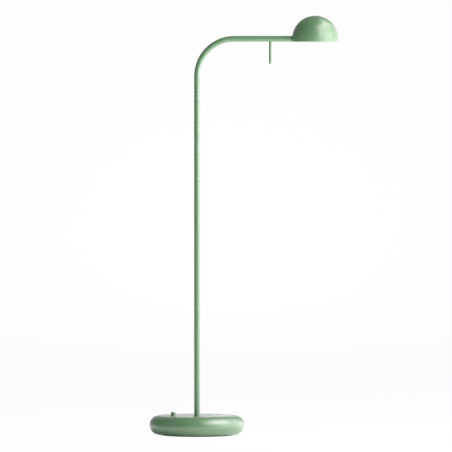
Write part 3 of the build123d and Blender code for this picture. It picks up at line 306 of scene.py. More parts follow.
def skin_group():
    """Fine skin of a sprayed, cast or moulded surface. Height is a coarse and a fine grain
    together, Tone a slow mottle from 0 to 1, and Speck a few small points, for pores and dust."""
    mottle_floor, mottle_gain, speck_gain = 0.3, 2.5, 14.0
    group, given, out = new_group(
        "surface_skin",
        {"Grain": 700.0, "Fine": 3.0, "Fine Share": 0.35, "Mottle": 9.0,
         "Speck Scale": 260.0, "Speck Limit": 0.7},
        {"Height": "NodeSocketFloat", "Tone": "NodeSocketFloat", "Speck": "NodeSocketFloat"},
    )
    place = group.nodes.new("ShaderNodeTexCoord").outputs["Object"]
    coarse = noise(group, place, given.outputs["Grain"], 1.5)
    fine_scale = math(group, "MULTIPLY", given.outputs["Grain"], given.outputs["Fine"])
    fine = noise(group, place, fine_scale, 1.0)
    weighted = math(group, "MULTIPLY", fine, given.outputs["Fine Share"])
    group.links.new(math(group, "ADD", coarse, weighted), out.inputs["Height"])
    slow = noise(group, place, given.outputs["Mottle"], 3.0)
    above = math(group, "SUBTRACT", slow, mottle_floor)
    group.links.new(math(group, "MULTIPLY", above, mottle_gain, clamp=True), out.inputs["Tone"])
    points = noise(group, place, given.outputs["Speck Scale"], 0.0)
    above = math(group, "SUBTRACT", points, given.outputs["Speck Limit"])
    group.links.new(math(group, "MULTIPLY", above, speck_gain, clamp=True), out.inputs["Speck"])
    return group


def lines_group():
    """Fine parallel tool or grinding lines: noise over a place that is stretched more along some
    axes than others. Along X, Y and Z say by how much in each direction."""
    group, given, out = new_group(
        "tool_lines",
        {"Along X": 1.0, "Along Y": 1.0, "Along Z": 1.0},
        {"Lines": "NodeSocketFloat"},
    )
    place = group.nodes.new("ShaderNodeTexCoord").outputs["Object"]
    stretch = group.nodes.new("ShaderNodeCombineXYZ")
    for axis in "XYZ":
        group.links.new(given.outputs[f"Along {axis}"], stretch.inputs[axis])
    scaled = group.nodes.new("ShaderNodeVectorMath")
    scaled.operation = "MULTIPLY"
    group.links.new(place, scaled.inputs[0])
    group.links.new(stretch.outputs[0], scaled.inputs[1])
    group.links.new(noise(group, scaled.outputs[0], 1.0, 4.0, 0.6), out.inputs["Lines"])
    return group


SKIN = skin_group()
LINES = lines_group()


# ---------------------------------------------------------------- materials
def ramp(tree, value, low, high):
    """Colour that goes from low to high as a value goes from 0 to 1."""
    node = tree.nodes.new("ShaderNodeMix")
    node.data_type = "RGBA"
    node.inputs["A"].default_value = (*low, 1)
    node.inputs["B"].default_value = (*high, 1)
    tree.links.new(value, node.inputs["Factor"])
    return node.outputs["Result"]


def span(tree, value, low, high):
    """Number that goes from low to high as a value goes from 0 to 1."""
    node = tree.nodes.new("ShaderNodeMapRange")
    node.inputs["To Min"].default_value = low
    node.inputs["To Max"].default_value = high
    tree.links.new(value, node.inputs["Value"])
    return node.outputs["Result"]


def new_material(name, group, values):
    """Material with a shader group in it; also gives its tree, its shader and the group's
    outputs."""
    material = bpy.data.materials.new(name)
    material.use_nodes = True
    tree = material.node_tree
    node = tree.nodes.new("ShaderNodeGroup")
    node.node_tree = group
    for label, value in values.items():
        node.inputs[label].default_value = value
    return material, tree, tree.nodes["Principled BSDF"], node.outputs


def relief(tree, shader, height, strength, depth):
    """Bump of a strength and a depth in metres on the shader."""
    node = tree.nodes.new("ShaderNodeBump")
    node.inputs["Strength"].default_value = strength
    node.inputs["Distance"].default_value = depth
    tree.links.new(height, node.inputs["Height"])
    tree.links.new(node.outputs["Normal"], shader.inputs["Normal"])


def coated(name, low, high, rough, grain, bump, depth, metallic=0.0, specks=None, **shader_values):
    """Material on the surface skin: two close colours by its mottle, roughness by its mottle, and
    a bump by its grain. specks is a third colour for pores or dust."""
    material, tree, shader, skin = new_material(name, SKIN, grain)
    colour = ramp(tree, skin["Tone"], low, high)
    if specks:
        over = tree.nodes.new("ShaderNodeMix")
        over.data_type = "RGBA"
        over.inputs["B"].default_value = (*specks, 1)
        tree.links.new(skin["Speck"], over.inputs["Factor"])
        tree.links.new(colour, over.inputs["A"])
        colour = over.outputs["Result"]
    tree.links.new(colour, shader.inputs["Base Color"])
    tree.links.new(span(tree, skin["Tone"], *rough), shader.inputs["Roughness"])
    relief(tree, shader, skin["Height"], bump, depth)
    shader.inputs["Metallic"].default_value = metallic
    for label, value in shader_values.items():
        shader.inputs[label.replace("_", " ")].default_value = value
    return material


def worked_metal(name, low, high, rough, stretch, bump=0.15, depth=0.05 * MM):
    """Bare metal with tool lines: two close colours and roughness by the lines, and a shallow
    bump."""
    along = {f"Along {axis}": value for axis, value in zip("XYZ", stretch)}
    material, tree, shader, outputs = new_material(name, LINES, along)
    lines = outputs["Lines"]
    shader.inputs["Metallic"].default_value = 1.0
    tree.links.new(ramp(tree, lines, low, high), shader.inputs["Base Color"])
    tree.links.new(span(tree, lines, *rough), shader.inputs["Roughness"])
    relief(tree, shader, lines, bump, depth)
    return material


SAGE_DEEP = (0.101, 0.250, 0.106)
SAGE_PALE = (0.107, 0.263, 0.112)

MATERIALS = {
    "sage_powder_coat": coated(
        "sage powder coat", SAGE_DEEP, SAGE_PALE, (0.30, 0.36),
        {"Grain": 620.0, "Fine": 3.1, "Fine Share": 0.4, "Mottle": 7.0}, 0.04, 0.10 * MM,
        Specular_IOR_Level=1.0, Coat_Weight=0.6, Coat_Roughness=0.25, Coat_IOR=1.6),
    "cast_iron": coated(
        "dipped cast iron", (0.022, 0.022, 0.024), (0.045, 0.043, 0.042), (0.5, 0.72),
        {"Grain": 420.0, "Fine Share": 0.8, "Mottle": 14.0, "Speck Limit": 0.66}, 0.7, 0.5 * MM,
        specks=(0.09, 0.055, 0.035)),
    "zinc_steel": worked_metal(
        "zinc plated steel", (0.50, 0.52, 0.54), (0.66, 0.67, 0.66), (0.24, 0.42),
        (240, 240, 1500)),
    "spring_steel": worked_metal(
        "drawn spring steel", (0.30, 0.30, 0.31), (0.44, 0.44, 0.45), (0.18, 0.3),
        (900, 900, 2600)),
    "soft_rubber": coated(
        "soft black rubber", (0.016, 0.016, 0.017), (0.026, 0.026, 0.028), (0.62, 0.8),
        {"Grain": 900.0, "Mottle": 22.0, "Speck Limit": 0.72}, 0.3, 0.15 * MM,
        specks=(0.06, 0.06, 0.06)),
    "black_plastic": coated(
        "black moulded plastic", (0.018, 0.018, 0.020), (0.026, 0.026, 0.028), (0.42, 0.52),
        {"Grain": 1500.0, "Mottle": 18.0}, 0.3, 0.08 * MM),
    "white_plastic": coated(
        "white moulded plastic", (0.76, 0.76, 0.73), (0.83, 0.83, 0.81), (0.28, 0.36),
        {"Grain": 1100.0, "Mottle": 18.0}, 0.12, 0.05 * MM),
    "opal_plastic": coated(
        "opal sheet", (0.86, 0.86, 0.83), (0.90, 0.90, 0.88), (0.38, 0.46),
        {"Grain": 1300.0, "Mottle": 6.0}, 0.15, 0.05 * MM,
        Subsurface_Weight=0.35, Subsurface_Scale=0.004),
    "circuit_board": coated(
        "green circuit board", (0.012, 0.090, 0.035), (0.020, 0.135, 0.055), (0.25, 0.38),
        {"Grain": 500.0, "Mottle": 160.0, "Speck Scale": 420.0, "Speck Limit": 0.68},
        0.2, 0.05 * MM, specks=(0.72, 0.70, 0.62)),
    "driver_parts": coated(
        "driver's parts", (0.045, 0.040, 0.030), (0.16, 0.11, 0.04), (0.3, 0.5),
        {"Grain": 700.0, "Mottle": 60.0}, 0.2, 0.1 * MM),
    "lamp_board": coated(
        "white lamp board", (0.80, 0.80, 0.77), (0.86, 0.86, 0.84), (0.3, 0.4),
        {"Grain": 900.0, "Mottle": 40.0, "Speck Scale": 300.0, "Speck Limit": 0.74},
        0.12, 0.04 * MM, specks=(0.66, 0.44, 0.22)),
    "emitter": coated(
        "emitter resin", (0.78, 0.52, 0.05), (0.86, 0.62, 0.10), (0.12, 0.2),
        {"Grain": 1800.0, "Mottle": 300.0}, 0.1, 0.03 * MM, Coat_Weight=0.6),
    "lead_jacket": coated(
        "grey lead jacket", (0.50, 0.50, 0.48), (0.58, 0.58, 0.56), (0.4, 0.5),
        {"Grain": 1200.0, "Mottle": 30.0}, 0.2, 0.05 * MM),
    "die_cast": coated(
        "blasted aluminium", (0.55, 0.56, 0.57), (0.64, 0.65, 0.66), (0.38, 0.5),
        {"Grain": 1400.0, "Mottle": 16.0, "Fine Share": 0.7}, 0.35, 0.08 * MM, metallic=1.0),
    "bronze": worked_metal(
        "turned bronze", (0.46, 0.30, 0.13), (0.60, 0.42, 0.20), (0.25, 0.4), (2600, 300, 300)),
}


def piece(obj, body, slot, *nodes):
    """Gives obj, which is in place, its slot's material and body. It stands for those CAD
    nodes."""
    obj.data.materials.clear()
    obj.data.materials.append(MATERIALS[slot])
    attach(obj, body)
    if nodes:
        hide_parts(*nodes)
    return obj


for row in frame["record"]["subparts"]:
    carried = frame["nodes"][row["node"]].data
    carried.materials.clear()
    carried.materials.append(MATERIALS[row["material_slot"]])


# ---------------------------------------------------------------- base
def pebble_shell():
    """Hollow pebble: a flat top, a half-round edge, a lip turned in underneath, and the same
    inside, one wall thickness in. It is turned about the stem, then the button's and the cable's
    holes are cut."""
    top, bottom = shell_high.z, shell_low.z
    lip_top = bottom + SHELL_WALL
    hole = PIPE_R + HALF_CLEAR
    edge, inner = (EDGE_CENTRE, EDGE_LEVEL), EDGE_R - SHELL_WALL
    opening = EDGE_CENTRE - SHELL_LIP
    soften = 0.35 * MM
    profile = outline(
        arc((hole + soften, top - soften), soften, 180, 90, 4),
        line((hole + soften, top), (EDGE_CENTRE, top), 14),
        arc(edge, EDGE_R, 90, -90, 72),
        line((EDGE_CENTRE, bottom), (opening, bottom)),
        line((opening, bottom), (opening, lip_top)),
        line((opening, lip_top), (EDGE_CENTRE, lip_top)),
        arc(edge, inner, -90, 90, 48),
        line((EDGE_CENTRE, SHELL_ROOF), (hole, SHELL_ROOF), 6),
    )
    shell = turned("base_pebble", profile, closed=True, around=320)
    return cut(shell, button_hole(), outlet_hole())


def button_hole():
    """Tool for the button's hole, flared at the top for its softened edge."""
    hole, flare, top, just_over = BUTTON_R + CLEAR, 0.4 * MM, shell_high.z, 0.001 * MM
    below, above = SHELL_ROOF - CLEAR, top + flare
    profile = np.array([
        (0, below), (hole, below), (hole, top - flare), (hole + flare / 3, top - flare / 3),
        (hole + flare, top + just_over), (hole + flare, above), (0, above)])
    return turned("button_hole", profile, (BUTTON_X, 0, 0), around=96)


def outlet_hole():
    """Tool for the cable outlet's hole in the rear edge."""
    profile = rod(OUTLET_HOLE_R, outlet_low.y, outlet_high.y)
    return turned("outlet_hole", profile, (0, 0, OUTLET_LEVEL), "Y", around=96)


def rod(radius, start, end):
    """Outline of a plain round rod."""
    return np.array([(0, start), (radius, start), (radius, end), (0, end)])


def shell_bosses():
    """Six bosses under the shell's roof, each a short pipe that flares into the roof: four take the
    ballast's screws and two the button guide's."""
    tall = [
        boss(x, y, foot=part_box("ballast")[1].z, radius=5.0 * MM, bore=2.0 * MM, cover=4.0 * MM)
        for x, y in solid_centres("shell_screws")]
    short = [
        boss(x, y, foot=SHELL_ROOF - 6.0 * MM, radius=3.0 * MM, bore=1.25 * MM, cover=0.5 * MM)
        for x, y in solid_centres("guide_screws")]
    return joined("shell_bosses", tall + short)


def solid_centres(node, reach=9 * MM):
    """Centres in X and Y of a CAD node's loose solids. Vertices that lie within reach of each other
    in plan belong to one solid."""
    mesh = frame["nodes"][node].data
    points = np.empty(len(mesh.vertices) * 3)
    mesh.vertices.foreach_get("co", points)
    plan = points.reshape(-1, 3)[:, :2]
    centres = []
    while len(plan):
        near = np.linalg.norm(plan - plan[0], axis=1) < reach
        cluster = plan[near]
        centres.append((cluster.min(0) + cluster.max(0)) / 2)
        plan = plan[~near]
    return centres


def boss(x, y, foot, radius, bore, cover):
    """One boss: a pipe from its foot to the roof, with a fillet at the roof, and a blind bore that
    stops a cover short of it."""
    root, into, bore_end = 1.5 * MM, 0.3 * MM, SHELL_ROOF - cover
    profile = outline(
        [(0, bore_end), (bore, bore_end)],
        line((bore, bore_end), (bore, foot)),
        line((bore, foot), (radius, foot)),
        line((radius, foot), (radius, SHELL_ROOF - root)),
        arc((radius + root, SHELL_ROOF - root), root, 180, 90, 5),
        [(radius + root, SHELL_ROOF + into), (0, SHELL_ROOF + into)],
    )
    return turned("boss", profile, (x, y, 0), around=48)


def joined(name, parts):
    """Several objects' meshes as one object; the parts are removed."""
    work = bmesh.new()
    for part in parts:
        work.from_mesh(part.data)
        bpy.data.objects.remove(part)
    mesh = bpy.data.meshes.new(name)
    work.to_mesh(mesh)
    work.free()
    obj = bpy.data.objects.new(name, mesh)
    bpy.context.scene.collection.objects.link(obj)
    crisp(obj)
    return obj


def grooved_pad():
    """Rubber pad: a disc with round grooves underneath, and a hole at each plate screw. At radius r
    a groove is as deep as depth times (steep times cosine of 2 pi r over pitch, less flat), held
    between 0 and 1, so flat ribs stay between the grooves."""
    radius, floor, top = pad_high.x, pad_low.z, pad_high.z
    pitch, depth, steep, flat = 6.0 * MM, 0.7 * MM, 2.2, 0.9
    margin, border, soften = 1.5 * MM, 3 * MM, 0.5 * MM
    r = np.linspace(radius - margin, 0, 330)
    wave = np.clip(steep * np.cos(2 * np.pi * r / pitch) - flat, 0, 1)
    wave[(r > radius - border) | (r < pitch / 2)] = 0
    profile = outline(
        [(0, top)],
        line((0, top), (radius, top), 4),
        line((radius, top), (radius, floor + soften)),
        arc((radius - soften, floor + soften), soften, 0, -90, 4),
        np.column_stack([r, floor + depth * wave]),
    )
    holes = [screw_hole(x, y) for x, y in solid_centres("plate_screws")]
    return cut(turned("grooved_pad", profile, around=160), *holes)


def screw_hole(x, y):
    """Tool for one of the pad's holes."""
    profile = rod(5.0 * MM, pad_low.z - MM, pad_high.z + MM)
    return turned("screw_hole", profile, (x, y, 0), around=64)


piece(pebble_shell(), "base", "sage_powder_coat", "base_shell")
piece(shell_bosses(), "base", "sage_powder_coat")
piece(grooved_pad(), "base", "soft_rubber", "foot_pad")


# ---------------------------------------------------------------- button
def push_knob():
    """Button: a slightly dished top, a rounded shoulder, a straight side, a catch flange, a hollow
    for the spring and a stem down its middle, turned about its own axis. The dish is deepest in the
    middle, and rises as the squared cosine falls."""
    top, foot = button_high.z, button_low.z
    shoulder, dish, catch_gap = 1.2 * MM, 0.25 * MM, 0.1 * MM
    flat = BUTTON_R - shoulder
    catch_top = SHELL_ROOF - catch_gap
    catch_low = catch_top - CATCH_HEIGHT
    r = np.linspace(0, flat, 24)
    hollow, roof = BUTTON_R - BUTTON_WALL, top - SPRING_ROOM
    profile = outline(
        np.column_stack([r, top - dish * np.cos(np.pi * r / flat / 2) ** 2]),
        arc((flat, top - shoulder), shoulder, 90, 0, 10),
        line((BUTTON_R, top - shoulder), (BUTTON_R, catch_top), 6),
        line((BUTTON_R, catch_top), (CATCH_R, catch_top)),
        line((CATCH_R, catch_top), (CATCH_R, catch_low)),
        line((CATCH_R, catch_low), (hollow, catch_low)),
        line((hollow, catch_low), (hollow, roof)),
        line((hollow, roof), (BUTTON_STEM_R, roof)),
        line((BUTTON_STEM_R, roof), (BUTTON_STEM_R, foot)),
        line((BUTTON_STEM_R, foot), (0, foot)),
    )
    return turned("push_knob", profile, (BUTTON_X, 0, 0), around=128)


def coil_spring():
    """Spring under the button: the wire's ring carried along a helix, so a point is at radius plus
    size times cosine of ring from the axis, and at level plus size times sine of ring. Each end
    coil rises by little more than the wire's thickness, and the open coils between them share the
    rest of the height."""
    wire_r, turns, steps = 0.4 * MM, 8, 40
    end_coils, easing, closed_pitch = 1, 0.3, 2.1
    radius = (spring_high.x - spring_low.x) / 2 - wire_r
    start, height = spring_low.z + wire_r, spring_high.z - spring_low.z - 2 * wire_r
    turn = np.linspace(0, turns, turns * steps + 1)
    openness = np.clip((np.minimum(turn, turns - turn) - end_coils) / easing, 0, 1)
    closed_rise = closed_pitch * wire_r * turn
    open_rise = (height - closed_rise[-1]) * np.cumsum(openness) / openness.sum()
    level = start + closed_rise + open_rise
    size = np.full(len(turn) + 2, wire_r)
    size[[0, -1]] = 0
    t, level = (np.concatenate([[a[0]], a, [a[-1]]])[:, None] for a in (2 * np.pi * turn, level))
    ring = np.linspace(0, 2 * np.pi, 16, endpoint=False)
    out, up = radius + size[:, None] * np.cos(ring), level + size[:, None] * np.sin(ring)
    points = np.stack([BUTTON_X + out * np.cos(t), out * np.sin(t), up], axis=-1)
    return surface("coil_spring", points, wrap_rows=False)


piece(push_knob(), "button", "sage_powder_coat", "button_cap")
spring = piece(coil_spring(), "base", "spring_steel", "button_spring")
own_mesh(spring)


# ---------------------------------------------------------------- tube, arm and grip
def stem_pipe():
    """The bent stem, with the lead's window cut near its foot."""
    rise = ARM_LEVEL - BEND_RADIUS - pipe_low.z
    length = rise + BEND_RADIUS * np.pi / 2 + pipe_high.x - BEND_RADIUS
    stem = pipe("stem_pipe", bent_route, 0, length, 300)
    plug_low, plug_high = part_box("output_plug")
    below_lead, above_lead, round_r, lead_drop = 2.2 * MM, 5.3 * MM, 2.5 * MM, 0.25 * MM
    level = (plug_low.z + plug_high.z) / 2 - lead_drop
    low, high = level - below_lead + round_r, level + above_lead - round_r
    shape = outline(arc((0, high), round_r, 0, 180, 16), arc((0, low), round_r, 180, 360, 16))
    inside = 1.35 * MM
    return cut(stem, prism("lead_window", shape, inside, PIPE_R + MM))


def arm_sleeve():
    """The turning arm, with a flat seat and a stud hole for the grip."""
    sleeve = pipe("arm_sleeve", level_route, sleeve_low.x, sleeve_high.x, 24)
    seat, hole = GRIP_R + GRIP_CLEAR, GRIP_STUD_R + STUD_CLEAR
    below, inside = RIM - 2 * MM, ARM_LEVEL - PIPE_BORE / 2
    profile = np.array([
        (0, below), (seat, below), (seat, GRIP_SEAT), (hole, GRIP_SEAT), (hole, inside),
        (0, inside)])
    return cut(sleeve, turned("grip_seat", profile, (GRIP_X, 0, 0), around=96))


def grip_pin():
    """The grip: a round pin with a softened lower end, a flat shoulder at the arm and a stud above
    it."""
    foot, soften = grip_low.z, 0.5 * MM
    profile = outline(
        line((0, foot), (GRIP_R - soften, foot)),
        arc((GRIP_R - soften, foot + soften), soften, -90, 0, 8),
        line((GRIP_R, foot + soften), (GRIP_R, GRIP_SEAT), 12),
        line((GRIP_R, GRIP_SEAT), (GRIP_STUD_R, GRIP_SEAT)),
        line((GRIP_STUD_R, GRIP_SEAT), (GRIP_STUD_R, grip_high.z)),
        line((GRIP_STUD_R, grip_high.z), (0, grip_high.z)),
    )
    return turned("grip_pin", profile, (GRIP_X, 0, 0), around=96)


piece(stem_pipe(), "base", "sage_powder_coat", "stem_tube")
piece(arm_sleeve(), "head", "sage_powder_coat", "arm_tube")
piece(grip_pin(), "head", "sage_powder_coat", "handle")


# ---------------------------------------------------------------- shade
def shade_dome():
    """The shade: a half sphere on a straight skirt with a rounded rim, and the same inside one wall
    in, turned about its own axis, then notched for the arm."""
    inside = SHADE_R - SHADE_WALL
    centre, small = (0, DOME_LEVEL), 0.25 * MM
    profile = outline(
        arc(centre, SHADE_R, 90, 0, 64),
        line((SHADE_R, DOME_LEVEL), (SHADE_R, RIM + RIM_ROUND), 4),
        arc((SHADE_R - RIM_ROUND, RIM + RIM_ROUND), RIM_ROUND, 0, -90, 10),
        arc((inside + small, RIM + small), small, -90, -180, 4),
        line((inside, RIM + small), (inside, DOME_LEVEL), 4),
        arc(centre, inside, 0, 90, 64),
    )
    dome = turned("shade_dome", profile, (SHADE_X, 0, 0), around=256)
    notch = PIPE_R + HALF_CLEAR
    below = RIM - MM
    shape = outline(arc((0, ARM_LEVEL), notch, 0, 180, 48), [(-notch, below), (notch, below)])
    return cut(dome, prism("arm_notch", shape, SHADE_X - SHADE_R - MM, SHADE_X - SHADE_R / 2))


def crown_boss():
    """Boss inside the shade's crown, with a fillet at the roof and a blind bore for its screw. The
    domed roof falls away from the middle, so the fillet starts a little below the roof's top."""
    roof = shade_high.z - SHADE_WALL
    foot, radius, bore, root = sink_high.z, 6.0 * MM, 2.0 * MM, 2.5 * MM
    bore_end, fillet_level = roof - 4.0 * MM, roof - root - 0.6 * MM
    into_edge, into_middle = roof - 0.3 * MM, roof + 0.4 * MM
    profile = outline(
        [(0, bore_end), (bore, bore_end)],
        line((bore, bore_end), (bore, foot)),
        line((bore, foot), (radius, foot)),
        line((radius, foot), (radius, fillet_level)),
        arc((radius + root, fillet_level), root, 180, 90, 6),
        [(radius + root, into_edge), (0, into_middle)],
    )
    return turned("crown_boss", profile, (SHADE_X, 0, 0), around=64)


def bezel():
    """Ring inside the rim: a thin lip under the diffuser and a wall outside it, with softened
    edges."""
    outer, low, high = bezel_high.x - SHADE_X, bezel_low.z, bezel_high.z
    width, wall, lip_height, soft = 12.5 * MM, 3.0 * MM, 1.0 * MM, 0.3 * MM
    inner, step, lip = outer - width, outer - wall, low + lip_height
    profile = outline(
        arc((outer - soft, low + soft), soft, -90, 0, 4),
        line((outer, low + soft), (outer, high)),
        line((outer, high), (step, high)),
        line((step, high), (step, lip)),
        line((step, lip), (inner + soft, lip)),
        arc((inner + soft, lip - soft), soft, 90, 180, 4),
        arc((inner + soft, low + soft), soft, 180, 270, 4),
        line((inner + soft, low), (outer - soft, low), 6),
    )
    return turned("bezel", profile, (SHADE_X, 0, 0), closed=True, around=192)


def diffuser_disc():
    """Opal disc with softened edges. Inside a flat border its lower face is hollow by a squared
    sine that grows to the middle."""
    radius, low, high = diffuser_high.x - SHADE_X, diffuser_low.z, diffuser_high.z
    soft, hollow, border = 0.3 * MM, 0.35 * MM, 12 * MM
    r = np.linspace(radius - border, 0, 24)
    profile = outline(
        line((0, high), (radius - soft, high), 4),
        arc((radius - soft, high - soft), soft, 90, 0, 4),
        arc((radius - soft, low + soft), soft, 0, -90, 4),
        line((radius - soft, low), (r[0], low)),
        np.column_stack([r, low + hollow * np.sin(np.pi / 2 * (1 - r / r[0])) ** 2]),
    )
    return turned("diffuser_disc", profile, (SHADE_X, 0, 0), around=160)


def reflector_cone():
    """White cone between the lamp board and the diffuser, one wall thick, with a foot ring."""
    low, high, wall, clear_of_emitters = cone_low.z, cone_high.z, 1.2 * MM, 5.25 * MM
    foot = cone_high.x - SHADE_X
    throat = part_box("light_emitters")[1].x - SHADE_X + clear_of_emitters
    profile = outline(
        line((throat, high), (throat + wall, high)),
        line((throat + wall, high), (foot, low + MM), 8),
        line((foot, low + MM), (foot, low)),
        line((foot, low), (foot - wall, low)),
        line((foot - wall, low), (throat, high), 8),
    )
    return turned("reflector_cone", profile[:-1], (SHADE_X, 0, 0), closed=True, around=160)


piece(shade_dome(), "head", "sage_powder_coat", "shade")
piece(crown_boss(), "head", "sage_powder_coat")
piece(bezel(), "head", "sage_powder_coat", "bezel_ring")
piece(diffuser_disc(), "head", "opal_plastic", "diffuser")
piece(reflector_cone(), "head", "white_plastic", "reflector")


# ---------------------------------------------------------------- studio
def smooth_step(tree, value, given, wanted):
    """Number that goes smoothly from one wanted value to the other as a value goes from one given
    value to the other."""
    node = tree.nodes.new("ShaderNodeMapRange")
    node.interpolation_type = "SMOOTHSTEP"
    for label, number in zip(("From Min", "From Max", "To Min", "To Max"), (*given, *wanted)):
        node.inputs[label].default_value = number
    tree.links.new(value, node.inputs["Value"])
    return node.outputs["Result"]


# Backdrop paper. Its white is the share of even white that the camera sees, and its glow is the
# light that everything else sees, with the places between which it changes and its values there.
PAPER_GREY = (0.86, 0.86, 0.86)
PAPER_WHITE = 0.95
GLOW_ALONG = (-0.35, 0.45), (0.19, 0.66)
GLOW_UP = (0.4, 2.4), (1.0, 0.0)
# Round the base the glow is dimmed: a painted shadow of the base on the floor, in the light that
# everything but the camera sees.
GLOW_PAINTED_BASE_SHADOW = (BASE_R - 10 * MM, 1.8 * BASE_R), (0.3, 1.0)


def paper():
    """Backdrop paper: a matt surface with a faint tooth. The camera sees it mixed with an even
    white, so that only a trace of the lamp's shadow shows. Everything else sees it glow, more
    so towards the right, less so up the wall, and dimly round the base, which is a painted
    shadow of the base on the floor. From behind it is clear, so that it never hides the lamp."""
    material = coated(
        "studio paper", PAPER_GREY, PAPER_GREY, (0.9, 0.95), {"Grain": 200.0, "Mottle": 1.0},
        0.02, 0.1 * MM, Specular_IOR_Level=0.1)
    tree = material.node_tree
    seen = tree.nodes.new("ShaderNodeLightPath").outputs["Is Camera Ray"]
    point = tree.nodes.new("ShaderNodeTexCoord").outputs["Object"]
    place = tree.nodes.new("ShaderNodeSeparateXYZ")
    tree.links.new(point, place.inputs[0])
    along = smooth_step(tree, place.outputs["X"], *GLOW_ALONG)
    up = smooth_step(tree, place.outputs["Z"], *GLOW_UP)
    away = tree.nodes.new("ShaderNodeVectorMath")
    away.operation = "LENGTH"
    tree.links.new(point, away.inputs[0])
    painted_base_shadow = smooth_step(tree, away.outputs["Value"], *GLOW_PAINTED_BASE_SHADOW)
    glow = math(tree, "MULTIPLY", math(tree, "MULTIPLY", along, up), painted_base_shadow)
    shader = tree.nodes["Principled BSDF"]
    shader.inputs["Emission Color"].default_value = (1, 1, 1, 1)
    unseen = math(tree, "SUBTRACT", 1.0, seen)
    tree.links.new(math(tree, "MULTIPLY", glow, unseen), shader.inputs["Emission Strength"])
    white = tree.nodes.new("ShaderNodeEmission")
    mix = tree.nodes.new("ShaderNodeMixShader")
    tree.links.new(math(tree, "MULTIPLY", seen, PAPER_WHITE), mix.inputs[0])
    tree.links.new(shader.outputs[0], mix.inputs[1])
    tree.links.new(white.outputs[0], mix.inputs[2])
    clear = tree.nodes.new("ShaderNodeBsdfTransparent")
    behind = tree.nodes.new("ShaderNodeNewGeometry").outputs["Backfacing"]
    sides = tree.nodes.new("ShaderNodeMixShader")
    tree.links.new(behind, sides.inputs[0])
    tree.links.new(mix.outputs[0], sides.inputs[1])
    tree.links.new(clear.outputs[0], sides.inputs[2])
    tree.links.new(sides.outputs[0], tree.nodes["Material Output"].inputs["Surface"])
    return material


def sweep_sheet():
    """Pale floor that curves up into a wall behind the lamp: flat, a quarter circle, straight
    up."""
    half, front, back, curve, height = 14.0, -26.0, 5.0, 3.0, 9.0
    across = np.linspace(-half, half, 9)
    path = outline(
        line((front, 0), (back, 0), 12),
        arc((back, curve), curve, -90, 0, 24),
        line((back + curve, curve), (back + curve, height), 6),
    )
    points = np.stack(np.broadcast_arrays(across[None, :], path[:, :1], path[:, 1:]), axis=-1)
    sheet = surface("studio_floor", points, wrap_rows=False, wrap_columns=False)
    sheet.data.flip_normals()
    sheet.data.materials.append(paper())


def soft_light(name, place, target, size, radiance, colour=(1.0, 1.0, 1.0)):
    """Rectangular soft light at a place, facing a target. The camera doesn't see it."""
    data = bpy.data.lights.new(name, "AREA")
    data.shape = "RECTANGLE"
    data.size, data.size_y = size
    data.energy = radiance * np.pi * size[0] * size[1]
    data.color = colour
    light = bpy.data.objects.new(name, data)
    light.location = place
    light.rotation_euler = (Vector(target) - Vector(place)).to_track_quat("-Z", "Y").to_euler()
    light.visible_camera = False
    bpy.context.scene.collection.objects.link(light)
    return light


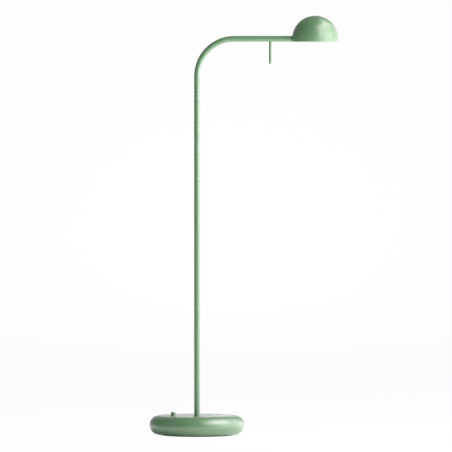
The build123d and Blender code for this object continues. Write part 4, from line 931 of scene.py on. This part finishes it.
# Soft panels that stand round the lamp and face it. Turn is in degrees from the front towards the
# right, and aim is the height that a panel faces. Those on the right have a tint.
KEY_TINT = (1.0, 0.86, 0.96)
NO_TINT = (1, 1, 1)
LAMP_MIDDLE = 0.1
PANELS = (
    # name, turn, distance, height, aim, size, radiance
    ("key_low", 72.5, 2.35, 0.55, 0.55, (2.15, 1.0), 2.6),
    ("key_high", 72.5, 2.35, 1.70, 1.10, (2.15, 1.1), 4.0),
    ("near_low", 35, 2.40, 0.55, 0.55, (1.05, 1.0), 0.6),
    ("near_high", 35, 2.40, 1.85, 1.10, (1.05, 1.4), 3.0),
    ("rear_low", 122.5, 2.35, 0.55, 0.55, (2.15, 1.0), 2.2),
    ("rear_high", 122.5, 2.35, 1.70, 1.10, (2.15, 1.1), 1.2),
    ("top_near", 45, 1.60, 2.70, 0.70, (1.3, 1.5), 2.5),
    ("top_side", 80, 1.60, 2.70, 0.70, (1.3, 1.3), 2.9),
    ("top_rear", 115, 1.60, 2.70, 0.70, (1.3, 1.3), 2.6),
    ("left_fill", -70, 2.40, 1.70, 1.10, (1.05, 1.1), 0.5),
    ("front_fill", -8, 2.40, 1.10, 1.00, (2.1, 2.1), 0.22),
)
# Two small ones that stand round the stem, for the base
BASE_PANELS = (
    ("base_near", 50, 0.95, 0.85, 0.03, (0.7, 0.5), 1.9),
    ("base_side", 80, 0.95, 0.85, 0.03, (0.7, 0.5), 2.8),
)


# One behind the lamp, for the wall's curve
WASH_PLACE, WASH_TARGET = (0.1, 3.6, 1.5), (0.1, 7.4, 0.2)
WASH_SIZE, WASH_RADIANCE, WASH_SPREAD = (1.6, 0.9), 3.2, 55
SURROUND = 0.18


def studio():
    """Floor, wall, lights and a dim grey surround."""
    sweep_sheet()
    for panels, x in ((PANELS, LAMP_MIDDLE), (BASE_PANELS, 0.0)):
        for name, turn, distance, height, aim, size, radiance in panels:
            place = (x + distance * sin(radians(turn)), -distance * cos(radians(turn)), height)
            tint = KEY_TINT if turn > 0 else NO_TINT
            soft_light(name, place, (x, 0, aim), size, radiance, tint)
    wash = soft_light("wall_wash", WASH_PLACE, WASH_TARGET, WASH_SIZE, WASH_RADIANCE)
    wash.data.spread = radians(WASH_SPREAD)
    world = bpy.data.worlds.new("studio")
    world.use_nodes = True
    background = world.node_tree.nodes["Background"]
    background.inputs["Color"].default_value = (1, 1, 1, 1)
    background.inputs["Strength"].default_value = SURROUND
    bpy.context.scene.world = world
    bpy.context.scene.view_settings.view_transform = "Standard"


def camera():
    """Long lens far off to the front, level with the shade's rim and aimed a little below the
    middle of the lamp's height."""
    distance, view_width, sensor = 20.0, 1.2336, 36.0
    aim = Vector((0.0790, 0, 0.5712))
    data = bpy.data.cameras.new("camera")
    data.sensor_width = sensor
    data.lens = sensor * distance / view_width
    data.clip_start, data.clip_end = 1.0, 100.0
    eye = bpy.data.objects.new("camera", data)
    eye.location = (aim.x, -distance, RIM)
    eye.rotation_euler = (aim - eye.location).to_track_quat("-Z", "Y").to_euler()
    bpy.context.scene.collection.objects.link(eye)
    bpy.context.scene.camera = eye


studio()
camera()
